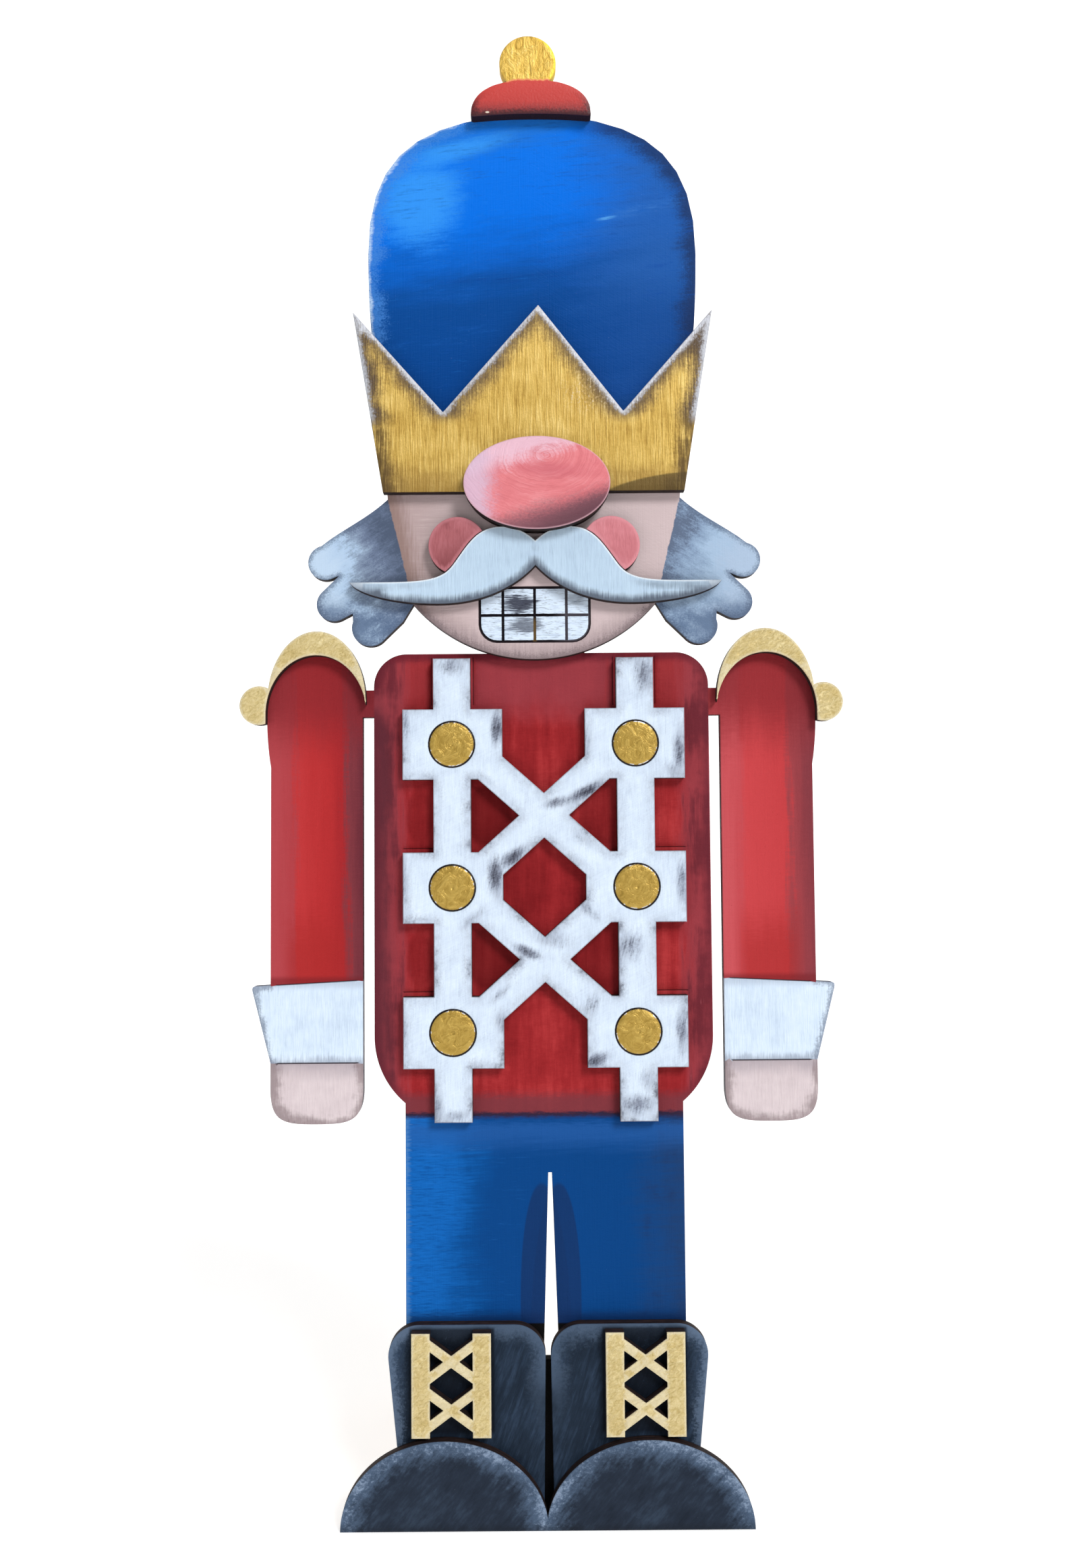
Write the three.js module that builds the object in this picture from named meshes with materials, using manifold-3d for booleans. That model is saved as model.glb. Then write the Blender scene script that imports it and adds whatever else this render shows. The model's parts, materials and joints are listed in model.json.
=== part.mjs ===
// Nutcracker figure in layered plywood.
//
// Flat boards of one thickness are glued on each other, from the body panel at the back to the nose
// in front. A batten and a hinged easel leg behind the body panel keep the figure standing. Cuffs,
// hands, buttons and teeth are painted on their boards, so they have no solids of their own.
//
// Millimetres, +Z up. The figure faces -Y. The origin is on the floor, in the middle of the body
// panel's thickness. Each outline is drawn in the figure's plane, as x and z.

import * as THREE from 'three';
import { mergeVertices } from 'three/addons/utils/BufferGeometryUtils.js';
import Module from 'manifold-3d';

const wasm = await Module();
wasm.setup();

// ---------------------------------------------------------------- driving dimensions

const SHEET = 6; // plywood thickness
const GLUE = 0.2; // glue film between two boards
const FIT_GAP = 0.4; // gap where a board is cut to fit round another in its own layer
const CURVE_STEPS = 9; // straight steps in each curve of an outline
const ROUND_STEPS = 40; // straight steps round a small disc
const LARGE_ROUND_STEPS = 60; // straight steps round a large one

const TORSO = { half: 86.5, top: 436.5, corner: 17, hipZ: 240, hipRadius: 44 };
const NECK = { half: 45, waist: 22, top: 590, flareZ: 466 };
const ARM = {
  inner: 92.3, outer: 139.7, mid: 116, domeZ: 404, domeHalf: 25.8, domeRise: 35,
  straightZ: 378, tabLow: 403.8,
};
const CUFF = { tip: 149.6, innerZ: 268.9, tipZ: 266, low: 226.9, round: 2.4 };
const HAND = { bottom: 196, sideZ: 214, curl: 17 };
const LEGS = { half: 70.8, slotX: 2.6, slotTop: 171, slotBottom: 78, slotTopHalf: 0.9, slotLowHalf: 3.9 };

const HEAD_X = -3; // the head was glued a little to one side
const HAT = {
  top: 720, half: 85.3, shoulderZ: 645, sideZ: 606, sideHalf: 83.9,
  crownHandle: [58, 716.5], sideHandle: [85.3, 700],
};
const FACE = { half: 75.4, browZ: 516, chinZ: 514.5, chinRadius: 82, jawZ: 461.2 };

// Hair: a sweep out from the brow, then three curls. Each curl is an arc between two angles in
// degrees, and ends in a notch.
const SWEEP_HANDLES = [[86, 506], [100, 500]];
const CURLS = [
  { x: 107.5, z: 483.3, r: 9, from: 77, to: -120, notch: [100.6, 476.4] },
  { x: 103.3, z: 461.6, r: 8.8, from: 45, to: -115, notch: [93.6, 456.7] },
  { x: 84.5, z: 449.3, r: 9.5, from: 20, to: -140, notch: [67.7, 452.4] },
];

const CROWN = {
  tip: 92.5, tipZ: 612, valley: 46.3, valleyZ: 559.4, peakX: 3, peakZ: 615.2, foot: 77.2, footZ: 518,
};
const FINIAL = {
  half: 31.2, low: 714.9, arch: 1.3, top: 734.5, crownHandle: [22, 734], sideHandle: [31.2, 726.9], toe: 2,
  ballX: -1.5, ballZ: 742.9, ballRadius: 14.7,
};
const NOSE = { x: 1.6, z: 520.8, halfWide: 37.3, halfHigh: 23.9, blockScale: 0.98, blockTop: 517.4 };
const CHEEK = { x: 39.2, z: 490.2, r: 14.8 };

// Right half of the moustache: where it starts on the middle line, then one curve a row, as its two
// handles and its end.
const MOUSTACHE_X = 0.6;
const MOUSTACHE_NOTCH = [0, 492.5];
const MOUSTACHE_CURVES = [
  [[5, 497.5], [11, 499.9], [17.5, 499.9]], // up the lobe
  [[31, 499.9], [36, 488], [43, 479.2]], // down its outer side
  [[50, 470.4], [66, 471.8], [95, 471.6]], // out to the tip
  [[91, 465.6], [72, 460.4], [49, 460.4]], // back below the tip
  [[27, 460.4], [10, 469], [0, 480]], // up to the cleft
];

const EPAULETTE = {
  outer: { x: 115.2, z: 412, half: 25.2, rise: 35.8 },
  inner: { x: 115.5, z: 405, half: 25.8, rise: 30.4 },
  ball: { x: 144.7, z: 409.7, r: 10 },
};

const LATTICE = {
  x: 1, low: 197.6, top: 433.2, strapX: 46.9, strapWide: 19.2,
  blockX: 46.65, blockWide: 51.1, blockHigh: 36.1, rows: [389, 315.8, 242.6],
  stripWide: 17.1, stripLong: 120, stripAngle: 41.7,
};
const LACE = {
  x: 48.2, low: 44.8, top: 95.6, railX: 15.2, railWide: 9.2,
  crossings: [81.8, 58.3], stripWide: 4.7, stripLong: 32, stripAngle: 36,
};
const BOOT = { x: 0.9, inner: 1.3, innerLow: 2.5, outer: 80.1, outerLow: 72, top: 97.6, corner: 15.5 };
const TOE = { x: 50.9, half: 51.5, high: 43.3 };

const SPINE = { wide: 40, thick: 12, low: 225, top: 575 };
const HINGE = {
  pinZ: 400, standoff: 2.7, wide: 42, leaf: 1.2, seatGap: 0.05, leafLow: -26, leafTop: -3.2, tabOverlap: 1,
  barrel: 2.4, bore: 1.3, pin: 1.2, pinProud: 0.8, knuckle: 14, knuckleGap: 0.3, screwX: 13, screwZ: -16,
};
const LEG = {
  open: 18, thick: 12, topWide: 44, lowWide: 118, notchTop: -190, notchHalf: 12, notchLowHalf: 32,
};
const LEG_GAP = 0.3; // between the leg's bevelled end and the spine it bears on
const HINGE_SCREW = { shank: 1.3, length: 9, head: 2.6, headDeep: 1.2 };
const SPINE_SCREW = { shank: 1.75, length: 15, head: 3.5, headDeep: 2 };
const SPINE_SCREW_PLACES = [[-11, 545], [11, 520], [-11, 300], [11, 260]];
const SCREW_TAPER = 1.5; // length of the tip in shank radii
const RECESS = { long: 1.2, wide: 0.22, deep: 0.7 }; // cross recess, in head radii and head depths
const SCREW_SIDES = 18;
const ROD_SIDES = 24;
const SCREW_CLEARANCE = 0.15;

const OPEN = THREE.MathUtils.degToRad(LEG.open);
const PITCH = SHEET + GLUE;
const SPINE_FRONT = SHEET / 2 + GLUE;
const SPINE_BACK = SPINE_FRONT + SPINE.thick;
const PIN_Y = SPINE_BACK + HINGE.standoff;
const THROUGH = 2 * SHEET; // thickness of a cutter that goes right through a board
const REACH = 400; // size of a cutter that takes everything on one side

// ---------------------------------------------------------------- materials

function paint(color, roughness = 0.6, metalness = 0) {
  return new THREE.MeshStandardMaterial({ color, roughness, metalness });
}

const MATERIALS = {
  body: paint(0xa2252c),
  hat: paint(0x1c5cae),
  white: paint(0xcfdbe6),
  gold: paint(0xc9a548, 0.38, 0.6),
  pink: paint(0xd66f77),
  charcoal: paint(0x2d343d, 0.55),
  wood: paint(0xcaa878, 0.7),
  steel: paint(0xb4b7bb, 0.35, 0.9),
};

// ---------------------------------------------------------------- solids

// Turns a closed three.js geometry into a manifold solid.
function toSolid(geometry) {
  const bare = geometry.clone();
  bare.deleteAttribute('normal');
  bare.deleteAttribute('uv');
  const merged = mergeVertices(bare);
  return new wasm.Manifold(new wasm.Mesh({
    numProp: 3,
    vertProperties: new Float32Array(merged.attributes.position.array),
    triVerts: new Uint32Array(merged.index.array),
  }));
}

function toGeometry(solid) {
  const mesh = solid.getMesh();
  const geometry = new THREE.BufferGeometry();
  geometry.setAttribute('position', new THREE.BufferAttribute(new Float32Array(mesh.vertProperties), 3));
  geometry.setIndex(new THREE.BufferAttribute(new Uint32Array(mesh.triVerts), 1));
  geometry.computeVertexNormals();
  return geometry;
}

function join(first, ...others) {
  let solid = toSolid(first);
  for (const other of others) {
    solid = solid.add(toSolid(other));
  }
  return toGeometry(solid);
}

function cut(first, ...cutters) {
  let solid = toSolid(first);
  for (const cutter of cutters) {
    solid = solid.subtract(toSolid(cutter));
  }
  return toGeometry(solid);
}

// A box given by its middle and its size.
function box(x, y, z, wide, deep, high) {
  return new THREE.BoxGeometry(wide, deep, high).translate(x, y, z);
}

function above(z) {
  return box(0, 0, z + REACH / 2, REACH, REACH, REACH);
}

function below(z) {
  return box(0, 0, z - REACH / 2, REACH, REACH, REACH);
}

// ---------------------------------------------------------------- boards

// Middle of a layer's thickness. Layer 0 is the body panel, and each next layer is in front of it.
function layerY(layer) {
  return -layer * PITCH;
}

function wound(outline, clockwise) {
  return THREE.ShapeUtils.isClockWise(outline) === clockwise ? outline : [...outline].reverse();
}

// Cuts a board from sheet: outline and holes in x and z, with its middle at y.
function board(outline, y, { holes = [], thick = SHEET } = {}) {
  const shape = new THREE.Shape(wound(outline, false));
  shape.holes = holes.map((hole) => new THREE.Path(wound(hole, true)));
  const geometry = new THREE.ExtrudeGeometry(shape, { depth: thick, bevelEnabled: false });
  return geometry.rotateX(Math.PI / 2).translate(0, y + thick / 2, 0);
}

function points(list) {
  return list.map(([x, z]) => new THREE.Vector2(x, z));
}

// Drops each point that repeats its neighbour, and then each point on a straight line between two.
function tidy(outline) {
  const nearest = 0.01;
  const flattest = 1e-6;
  const apart = outline.filter((point, i) => point.distanceTo(outline.at(i - 1)) > nearest);
  return apart.filter((point, i) => {
    const before = point.clone().sub(apart.at(i - 1));
    const after = apart[(i + 1) % apart.length].clone().sub(point);
    return Math.abs(before.cross(after)) > flattest;
  });
}

// Closes a path drawn down the right-hand side with its own mirror image.
function mirrored(path) {
  const right = path.getPoints(CURVE_STEPS);
  const left = right.map((point) => new THREE.Vector2(-point.x, point.y)).reverse();
  return tidy([...right, ...left]);
}

function flipped(outline) {
  return outline.map((point) => new THREE.Vector2(-point.x, point.y)).reverse();
}

function shifted(outline, x, z = 0) {
  return outline.map((point) => new THREE.Vector2(point.x + x, point.y + z));
}

function ellipse(x, z, halfWide, halfHigh, steps = ROUND_STEPS) {
  return new THREE.EllipseCurve(x, z, halfWide, halfHigh).getPoints(steps).slice(0, -1);
}

// Moves every point of a smooth outline outwards.
function grown(outline, distance) {
  const out = THREE.ShapeUtils.isClockWise(outline) ? -distance : distance;
  return outline.map((point, i) => {
    const before = outline.at(i - 1);
    const after = outline[(i + 1) % outline.length];
    const along = after.clone().sub(before).normalize();
    return new THREE.Vector2(point.x + along.y * out, point.y - along.x * out);
  });
}

// A straight strip in the board's plane, turned by an angle in degrees.
function strip(x, y, z, long, wide, degrees) {
  const bar = new THREE.BoxGeometry(long, SHEET, wide);
  return bar.rotateY(THREE.MathUtils.degToRad(-degrees)).translate(x, y, z);
}

// ---------------------------------------------------------------- layer 0: body panel

function cuffTop(x) {
  const slope = (CUFF.tipZ - CUFF.innerZ) / (CUFF.tip - ARM.inner);
  return CUFF.innerZ + slope * (x - ARM.inner);
}

function drawArm(path) {
  const dome = Math.acos((ARM.inner - ARM.mid) / ARM.domeHalf);
  const shoulderZ = ARM.domeZ + ARM.domeRise * Math.sin(dome);
  const handMid = (ARM.inner + ARM.outer) / 2;
  path.lineTo(TORSO.half, shoulderZ);
  path.lineTo(ARM.inner, shoulderZ);
  path.absellipse(ARM.mid, ARM.domeZ, ARM.domeHalf, ARM.domeRise, dome, 0, true);
  path.quadraticCurveTo(ARM.mid + ARM.domeHalf, (ARM.domeZ + ARM.straightZ) / 2, ARM.outer, ARM.straightZ);
  path.lineTo(ARM.outer, cuffTop(ARM.outer));
  path.lineTo(CUFF.tip - CUFF.round, cuffTop(CUFF.tip - CUFF.round));
  path.quadraticCurveTo(CUFF.tip, CUFF.tipZ, CUFF.tip - CUFF.round / 4, CUFF.tipZ - CUFF.round);
  path.lineTo(ARM.outer, CUFF.low);
  path.lineTo(ARM.outer, HAND.sideZ);
  path.bezierCurveTo(
    ARM.outer, HAND.sideZ - HAND.curl, handMid + HAND.curl, HAND.bottom, handMid, HAND.bottom,
  );
  path.bezierCurveTo(
    handMid - HAND.curl, HAND.bottom, ARM.inner, HAND.sideZ - HAND.curl, ARM.inner, HAND.sideZ,
  );
  path.lineTo(ARM.inner, ARM.tabLow);
  path.lineTo(TORSO.half, ARM.tabLow);
}

function bodyOutline() {
  const path = new THREE.Path();
  const hipX = TORSO.half - TORSO.hipRadius;
  const hipTurn = Math.acos((LEGS.half - hipX) / TORSO.hipRadius);
  path.moveTo(0, NECK.top);
  path.lineTo(NECK.half, NECK.top);
  path.lineTo(NECK.half, NECK.flareZ);
  path.lineTo(NECK.waist, TORSO.top);
  path.lineTo(TORSO.half - TORSO.corner, TORSO.top);
  path.absarc(TORSO.half - TORSO.corner, TORSO.top - TORSO.corner, TORSO.corner, Math.PI / 2, 0, true);
  drawArm(path);
  path.lineTo(TORSO.half, TORSO.hipZ);
  path.absarc(hipX, TORSO.hipZ, TORSO.hipRadius, 0, -hipTurn, true);
  path.lineTo(LEGS.half, 0);
  path.lineTo(0, 0);
  return mirrored(path);
}

// The tapered gap between the trouser legs.
function legSlot() {
  return points([
    [LEGS.slotX - LEGS.slotTopHalf, LEGS.slotTop],
    [LEGS.slotX + LEGS.slotTopHalf, LEGS.slotTop],
    [LEGS.slotX + LEGS.slotLowHalf, LEGS.slotBottom],
    [LEGS.slotX - LEGS.slotLowHalf, LEGS.slotBottom],
  ]);
}

function bodyPanel() {
  return cut(board(bodyOutline(), layerY(0), { holes: [legSlot()] }), ...spineScrews(SCREW_CLEARANCE));
}

// ---------------------------------------------------------------- head

function curlStart(curl) {
  const from = THREE.MathUtils.degToRad(curl.from);
  return [curl.x + curl.r * Math.cos(from), curl.z + curl.r * Math.sin(from)];
}

function drawCurl(path, curl) {
  const from = THREE.MathUtils.degToRad(curl.from);
  const to = THREE.MathUtils.degToRad(curl.to);
  path.lineTo(...curlStart(curl));
  path.absarc(curl.x, curl.z, curl.r, from, to, true);
  path.lineTo(...curl.notch);
}

// Hat, side curls and chin are one board.
function headOutline() {
  const path = new THREE.Path();
  const jaw = Math.asin((FACE.chinZ - FACE.jawZ) / FACE.chinRadius);
  path.moveTo(0, HAT.top);
  path.bezierCurveTo(...HAT.crownHandle, ...HAT.sideHandle, HAT.half, HAT.shoulderZ);
  path.quadraticCurveTo(HAT.half, (HAT.shoulderZ + HAT.sideZ) / 2, HAT.sideHalf, HAT.sideZ);
  path.lineTo(FACE.half, FACE.browZ);
  path.bezierCurveTo(...SWEEP_HANDLES.flat(), ...curlStart(CURLS[0]));
  for (const curl of CURLS) {
    drawCurl(path, curl);
  }
  path.absarc(0, FACE.chinZ, FACE.chinRadius, -jaw, -Math.PI / 2, true);
  return mirrored(path);
}

function crownOutline() {
  return points([
    [-CROWN.tip, CROWN.tipZ], [-CROWN.valley, CROWN.valleyZ], [CROWN.peakX, CROWN.peakZ],
    [CROWN.valley, CROWN.valleyZ], [CROWN.tip, CROWN.tipZ], [CROWN.foot, CROWN.footZ],
    [-CROWN.foot, CROWN.footZ],
  ]);
}

// Red brim with a gently arched foot. The ball stands on it, in one piece.
function hatFinial() {
  const path = new THREE.Path();
  path.moveTo(0, FINIAL.top);
  path.bezierCurveTo(...FINIAL.crownHandle, ...FINIAL.sideHandle, FINIAL.half, FINIAL.low + FINIAL.toe / 2);
  path.quadraticCurveTo(FINIAL.half, FINIAL.low, FINIAL.half - FINIAL.toe, FINIAL.low);
  path.quadraticCurveTo(FINIAL.half / 2, FINIAL.low + FINIAL.arch, 0, FINIAL.low + FINIAL.arch);
  const brim = board(mirrored(path), layerY(2));
  const ball = board(ellipse(FINIAL.ballX, FINIAL.ballZ, FINIAL.ballRadius, FINIAL.ballRadius), layerY(2));
  return join(brim, ball);
}

function moustacheOutline() {
  const path = new THREE.Path();
  path.moveTo(...MOUSTACHE_NOTCH);
  for (const curve of MOUSTACHE_CURVES) {
    path.bezierCurveTo(...curve.flat());
  }
  return shifted(mirrored(path), MOUSTACHE_X);
}

function roomForMoustache() {
  return board(grown(moustacheOutline(), FIT_GAP), layerY(2), { thick: THROUGH });
}

function cheek(side) {
  const disc = board(ellipse(side * CHEEK.x, CHEEK.z, CHEEK.r, CHEEK.r), layerY(2));
  return keepLargest(cut(disc, roomForMoustache()));
}

// A disc cut right across leaves slivers, and only its main piece is glued on.
function keepLargest(geometry) {
  const pieces = toSolid(geometry).decompose();
  pieces.sort((a, b) => b.volume() - a.volume());
  return toGeometry(pieces[0]);
}

function nose() {
  return board(ellipse(NOSE.x, NOSE.z, NOSE.halfWide, NOSE.halfHigh), layerY(3));
}

// Spacer under the part of the nose that hangs below the crown.
function noseBlock() {
  const wide = NOSE.halfWide * NOSE.blockScale;
  const high = NOSE.halfHigh * NOSE.blockScale;
  const whole = board(ellipse(NOSE.x, NOSE.z, wide, high), layerY(2));
  return keepLargest(cut(whole, above(NOSE.blockTop), roomForMoustache()));
}

// ---------------------------------------------------------------- jacket

// Two straps, three blocks on each, and a cross of two strips between each two rows of blocks.
function lattice() {
  const y = layerY(1);
  const { x, rows } = LATTICE;
  const bars = [];
  for (const side of [-1, 1]) {
    const high = LATTICE.top - LATTICE.low;
    bars.push(box(x + side * LATTICE.strapX, y, LATTICE.low + high / 2, LATTICE.strapWide, SHEET, high));
    for (const z of rows) {
      bars.push(box(x + side * LATTICE.blockX, y, z, LATTICE.blockWide, SHEET, LATTICE.blockHigh));
    }
  }
  for (const z of [(rows[0] + rows[1]) / 2, (rows[1] + rows[2]) / 2]) {
    for (const side of [-1, 1]) {
      bars.push(strip(x, y, z, LATTICE.stripLong, LATTICE.stripWide, side * LATTICE.stripAngle));
    }
  }
  return join(...bars);
}

// Crescent over the shoulder with a ball at its outer end.
function rightEpaulette() {
  const { outer, inner, ball } = EPAULETTE;
  const y = layerY(1);
  const crescent = board(ellipse(outer.x, outer.z, outer.half, outer.rise, LARGE_ROUND_STEPS), y);
  const ballDisc = board(ellipse(ball.x, ball.z, ball.r, ball.r), y);
  const armOutline = ellipse(inner.x, inner.z, inner.half, inner.rise, LARGE_ROUND_STEPS);
  const arm = board(armOutline, y, { thick: THROUGH });
  const belowArm = box(inner.x, y, inner.z - REACH / 2, 2 * inner.half, THROUGH, REACH);
  return keepLargest(cut(join(crescent, ballDisc), arm, belowArm));
}

function epaulette(side) {
  return side > 0 ? rightEpaulette() : mirrorX(rightEpaulette());
}

// Mirrors a solid left to right, and turns its triangles so that they still face outwards.
function mirrorX(geometry) {
  const mirror = geometry.clone().scale(-1, 1, 1);
  const { array } = mirror.index;
  for (let i = 0; i < array.length; i += 3) {
    [array[i], array[i + 1]] = [array[i + 1], array[i]];
  }
  mirror.computeVertexNormals();
  return mirror;
}

// ---------------------------------------------------------------- boots

function bootOutline() {
  const path = new THREE.Path();
  const { corner } = BOOT;
  const lean = Math.atan2(BOOT.outer - BOOT.outerLow, BOOT.top - corner);
  path.moveTo(BOOT.innerLow, 0);
  path.lineTo(BOOT.inner, BOOT.top - corner);
  path.absarc(BOOT.inner + corner, BOOT.top - corner, corner, Math.PI, Math.PI / 2, true);
  path.lineTo(BOOT.outer - corner, BOOT.top);
  path.absarc(BOOT.outer - corner, BOOT.top - corner, corner, Math.PI / 2, -lean, true);
  path.lineTo(BOOT.outerLow, 0);
  return tidy(path.getPoints(CURVE_STEPS));
}

function boot(side) {
  const outline = side > 0 ? bootOutline() : flipped(bootOutline());
  return board(shifted(outline, BOOT.x), layerY(1));
}

// Both toes are one board: two half ellipses that run into each other.
function toeCaps() {
  const [left, right] = [-1, 1].map((side) => {
    return board(ellipse(side * TOE.x, 0, TOE.half, TOE.high, LARGE_ROUND_STEPS), layerY(2));
  });
  return cut(join(left, right), below(0));
}

// Two rails with two crosses of thin strip between them.
function lace(side) {
  const y = layerY(2);
  const x = BOOT.x + side * LACE.x;
  const high = LACE.top - LACE.low;
  const pieces = [];
  for (const end of [-1, 1]) {
    pieces.push(box(x + end * LACE.railX, y, LACE.low + high / 2, LACE.railWide, SHEET, high));
    for (const z of LACE.crossings) {
      pieces.push(strip(x, y, z, LACE.stripLong, LACE.stripWide, end * LACE.stripAngle));
    }
  }
  return join(...pieces);
}

// ---------------------------------------------------------------- stand

// Countersunk screw with a cross recess, lying along Y with its head towards +Y at the origin.
function screw({ shank, length, head, headDeep }, extra = 0) {
  const profile = points([
    [0, -length - extra], [shank + extra, SCREW_TAPER * shank - length], [shank + extra, -headDeep - extra],
    [head + extra, 0], [head + extra, extra], [0, extra],
  ]);
  const turned = new THREE.LatheGeometry(tidy(profile), SCREW_SIDES);
  if (extra > 0) {
    return turned;
  }
  const slot = new THREE.BoxGeometry(RECESS.long * head, 2 * RECESS.deep * headDeep, RECESS.wide * head);
  return cut(turned, slot, slot.clone().rotateY(Math.PI / 2));
}

function spineScrews(extra = 0) {
  return SPINE_SCREW_PLACES.map(([x, z]) => screw(SPINE_SCREW, extra).translate(x, SPINE_BACK, z));
}

// Turns and moves a piece drawn in the leg's own frame, which has the hinge pin at its origin.
function opened(geometry) {
  return geometry.rotateX(OPEN).translate(0, PIN_Y, HINGE.pinZ);
}

// Moves a piece of the fixed side, drawn in the same frame.
function fixed(geometry) {
  return geometry.translate(0, PIN_Y, HINGE.pinZ);
}

function hingeScrews(moving, extra = 0) {
  const face = HINGE.standoff - HINGE.leaf;
  return [-1, 1].map((side) => {
    const one = screw(HINGE_SCREW, extra);
    if (moving) {
      return opened(one.rotateX(Math.PI).translate(side * HINGE.screwX, face, HINGE.screwZ));
    }
    return fixed(one.translate(side * HINGE.screwX, -face, HINGE.screwZ));
  });
}

// A round rod along X.
function rod(radius, long) {
  return new THREE.CylinderGeometry(radius, radius, long, ROD_SIDES).rotateZ(Math.PI / 2);
}

// One leaf of the butt hinge: plate, knuckles and bore, in a frame with the pin at the origin.
function hingeLeaf(moving) {
  const side = moving ? 1 : -1;
  const plateY = side * (HINGE.standoff - HINGE.leaf / 2 - HINGE.seatGap);
  const plateHigh = HINGE.leafTop - HINGE.leafLow;
  const plate = box(0, plateY, HINGE.leafLow + plateHigh / 2, HINGE.wide, HINGE.leaf, plateHigh);
  const long = HINGE.knuckle - HINGE.knuckleGap;
  const tabHigh = HINGE.tabOverlap - HINGE.leafTop;
  const knuckles = [];
  for (const x of moving ? [0] : [-HINGE.knuckle, HINGE.knuckle]) {
    knuckles.push(rod(HINGE.barrel, long).translate(x, 0, 0));
    knuckles.push(box(x, plateY, -tabHigh / 2, long, HINGE.leaf, tabHigh));
  }
  const whole = cut(join(plate, ...knuckles), rod(HINGE.bore, 2 * HINGE.wide));
  const placed = moving ? opened(whole) : fixed(whole);
  return cut(placed, ...hingeScrews(moving, SCREW_CLEARANCE));
}

function hingePin() {
  return fixed(rod(HINGE.pin, HINGE.wide + 2 * HINGE.pinProud));
}

function spine() {
  const high = SPINE.top - SPINE.low;
  const batten = box(0, SPINE_FRONT + SPINE.thick / 2, SPINE.low + high / 2, SPINE.wide, SPINE.thick, high);
  return cut(batten, ...spineScrews(SCREW_CLEARANCE), ...hingeScrews(false, SCREW_CLEARANCE));
}

// A-shaped easel leg. Its top end is bevelled to bear on the spine, and its feet sit flat on the floor.
function standLeg() {
  const long = HINGE.pinZ / Math.cos(OPEN) + LEG.thick;
  const high = (LEG.thick + 2 * HINGE.standoff) / Math.sin(OPEN);
  const outline = points([
    [-LEG.topWide / 2, high], [LEG.topWide / 2, high], [LEG.lowWide / 2, -long],
    [LEG.notchLowHalf, -long], [LEG.notchHalf, LEG.notchTop], [-LEG.notchHalf, LEG.notchTop],
    [-LEG.notchLowHalf, -long], [-LEG.lowWide / 2, -long],
  ]);
  const plank = opened(board(outline, HINGE.standoff + LEG.thick / 2, { thick: LEG.thick }));
  const bearing = box(0, SPINE_BACK + LEG_GAP - REACH / 2, HINGE.pinZ, REACH, REACH, REACH);
  return cut(plank, below(0), bearing, ...hingeScrews(true, SCREW_CLEARANCE));
}

// ---------------------------------------------------------------- assembly

const nutcracker = new THREE.Group();

function addMesh(parent, name, geometry, material) {
  const mesh = new THREE.Mesh(geometry, material);
  mesh.name = name;
  parent.add(mesh);
}

function addHead() {
  const head = new THREE.Group();
  head.position.x = HEAD_X;
  addMesh(head, 'head_panel', board(headOutline(), layerY(1)), MATERIALS.hat);
  addMesh(head, 'crown', board(crownOutline(), layerY(2)), MATERIALS.gold);
  addMesh(head, 'hat_finial', hatFinial(), MATERIALS.gold);
  addMesh(head, 'moustache', board(moustacheOutline(), layerY(2)), MATERIALS.white);
  addMesh(head, 'cheek_left', cheek(-1), MATERIALS.pink);
  addMesh(head, 'cheek_right', cheek(1), MATERIALS.pink);
  addMesh(head, 'nose_block', noseBlock(), MATERIALS.charcoal);
  addMesh(head, 'nose', nose(), MATERIALS.pink);
  nutcracker.add(head);
}

function addBody() {
  addMesh(nutcracker, 'body_panel', bodyPanel(), MATERIALS.body);
  addMesh(nutcracker, 'lattice', lattice(), MATERIALS.white);
  for (const [name, side] of [['left', -1], ['right', 1]]) {
    addMesh(nutcracker, `epaulette_${name}`, epaulette(side), MATERIALS.gold);
    addMesh(nutcracker, `boot_${name}`, boot(side), MATERIALS.charcoal);
    addMesh(nutcracker, `lace_${name}`, lace(side), MATERIALS.gold);
  }
  addMesh(nutcracker, 'toe_caps', toeCaps(), MATERIALS.charcoal);
}

function addStand() {
  addMesh(nutcracker, 'spine', spine(), MATERIALS.wood);
  addMesh(nutcracker, 'stand_leg', standLeg(), MATERIALS.wood);
  addMesh(nutcracker, 'hinge_leaf_fixed', hingeLeaf(false), MATERIALS.steel);
  addMesh(nutcracker, 'hinge_leaf_moving', hingeLeaf(true), MATERIALS.steel);
  addMesh(nutcracker, 'hinge_pin', hingePin(), MATERIALS.steel);
  [...hingeScrews(false), ...hingeScrews(true)].forEach((geometry, i) => {
    addMesh(nutcracker, `hinge_screw_${i + 1}`, geometry, MATERIALS.steel);
  });
  spineScrews().forEach((geometry, i) => {
    addMesh(nutcracker, `spine_screw_${i + 1}`, geometry, MATERIALS.steel);
  });
}

addHead();
addBody();
addStand();

export default nutcracker;
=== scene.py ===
import functools
import json
import math

import bmesh
import bpy
import numpy as np
from mathutils import Matrix, Vector, geometry, kdtree

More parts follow.
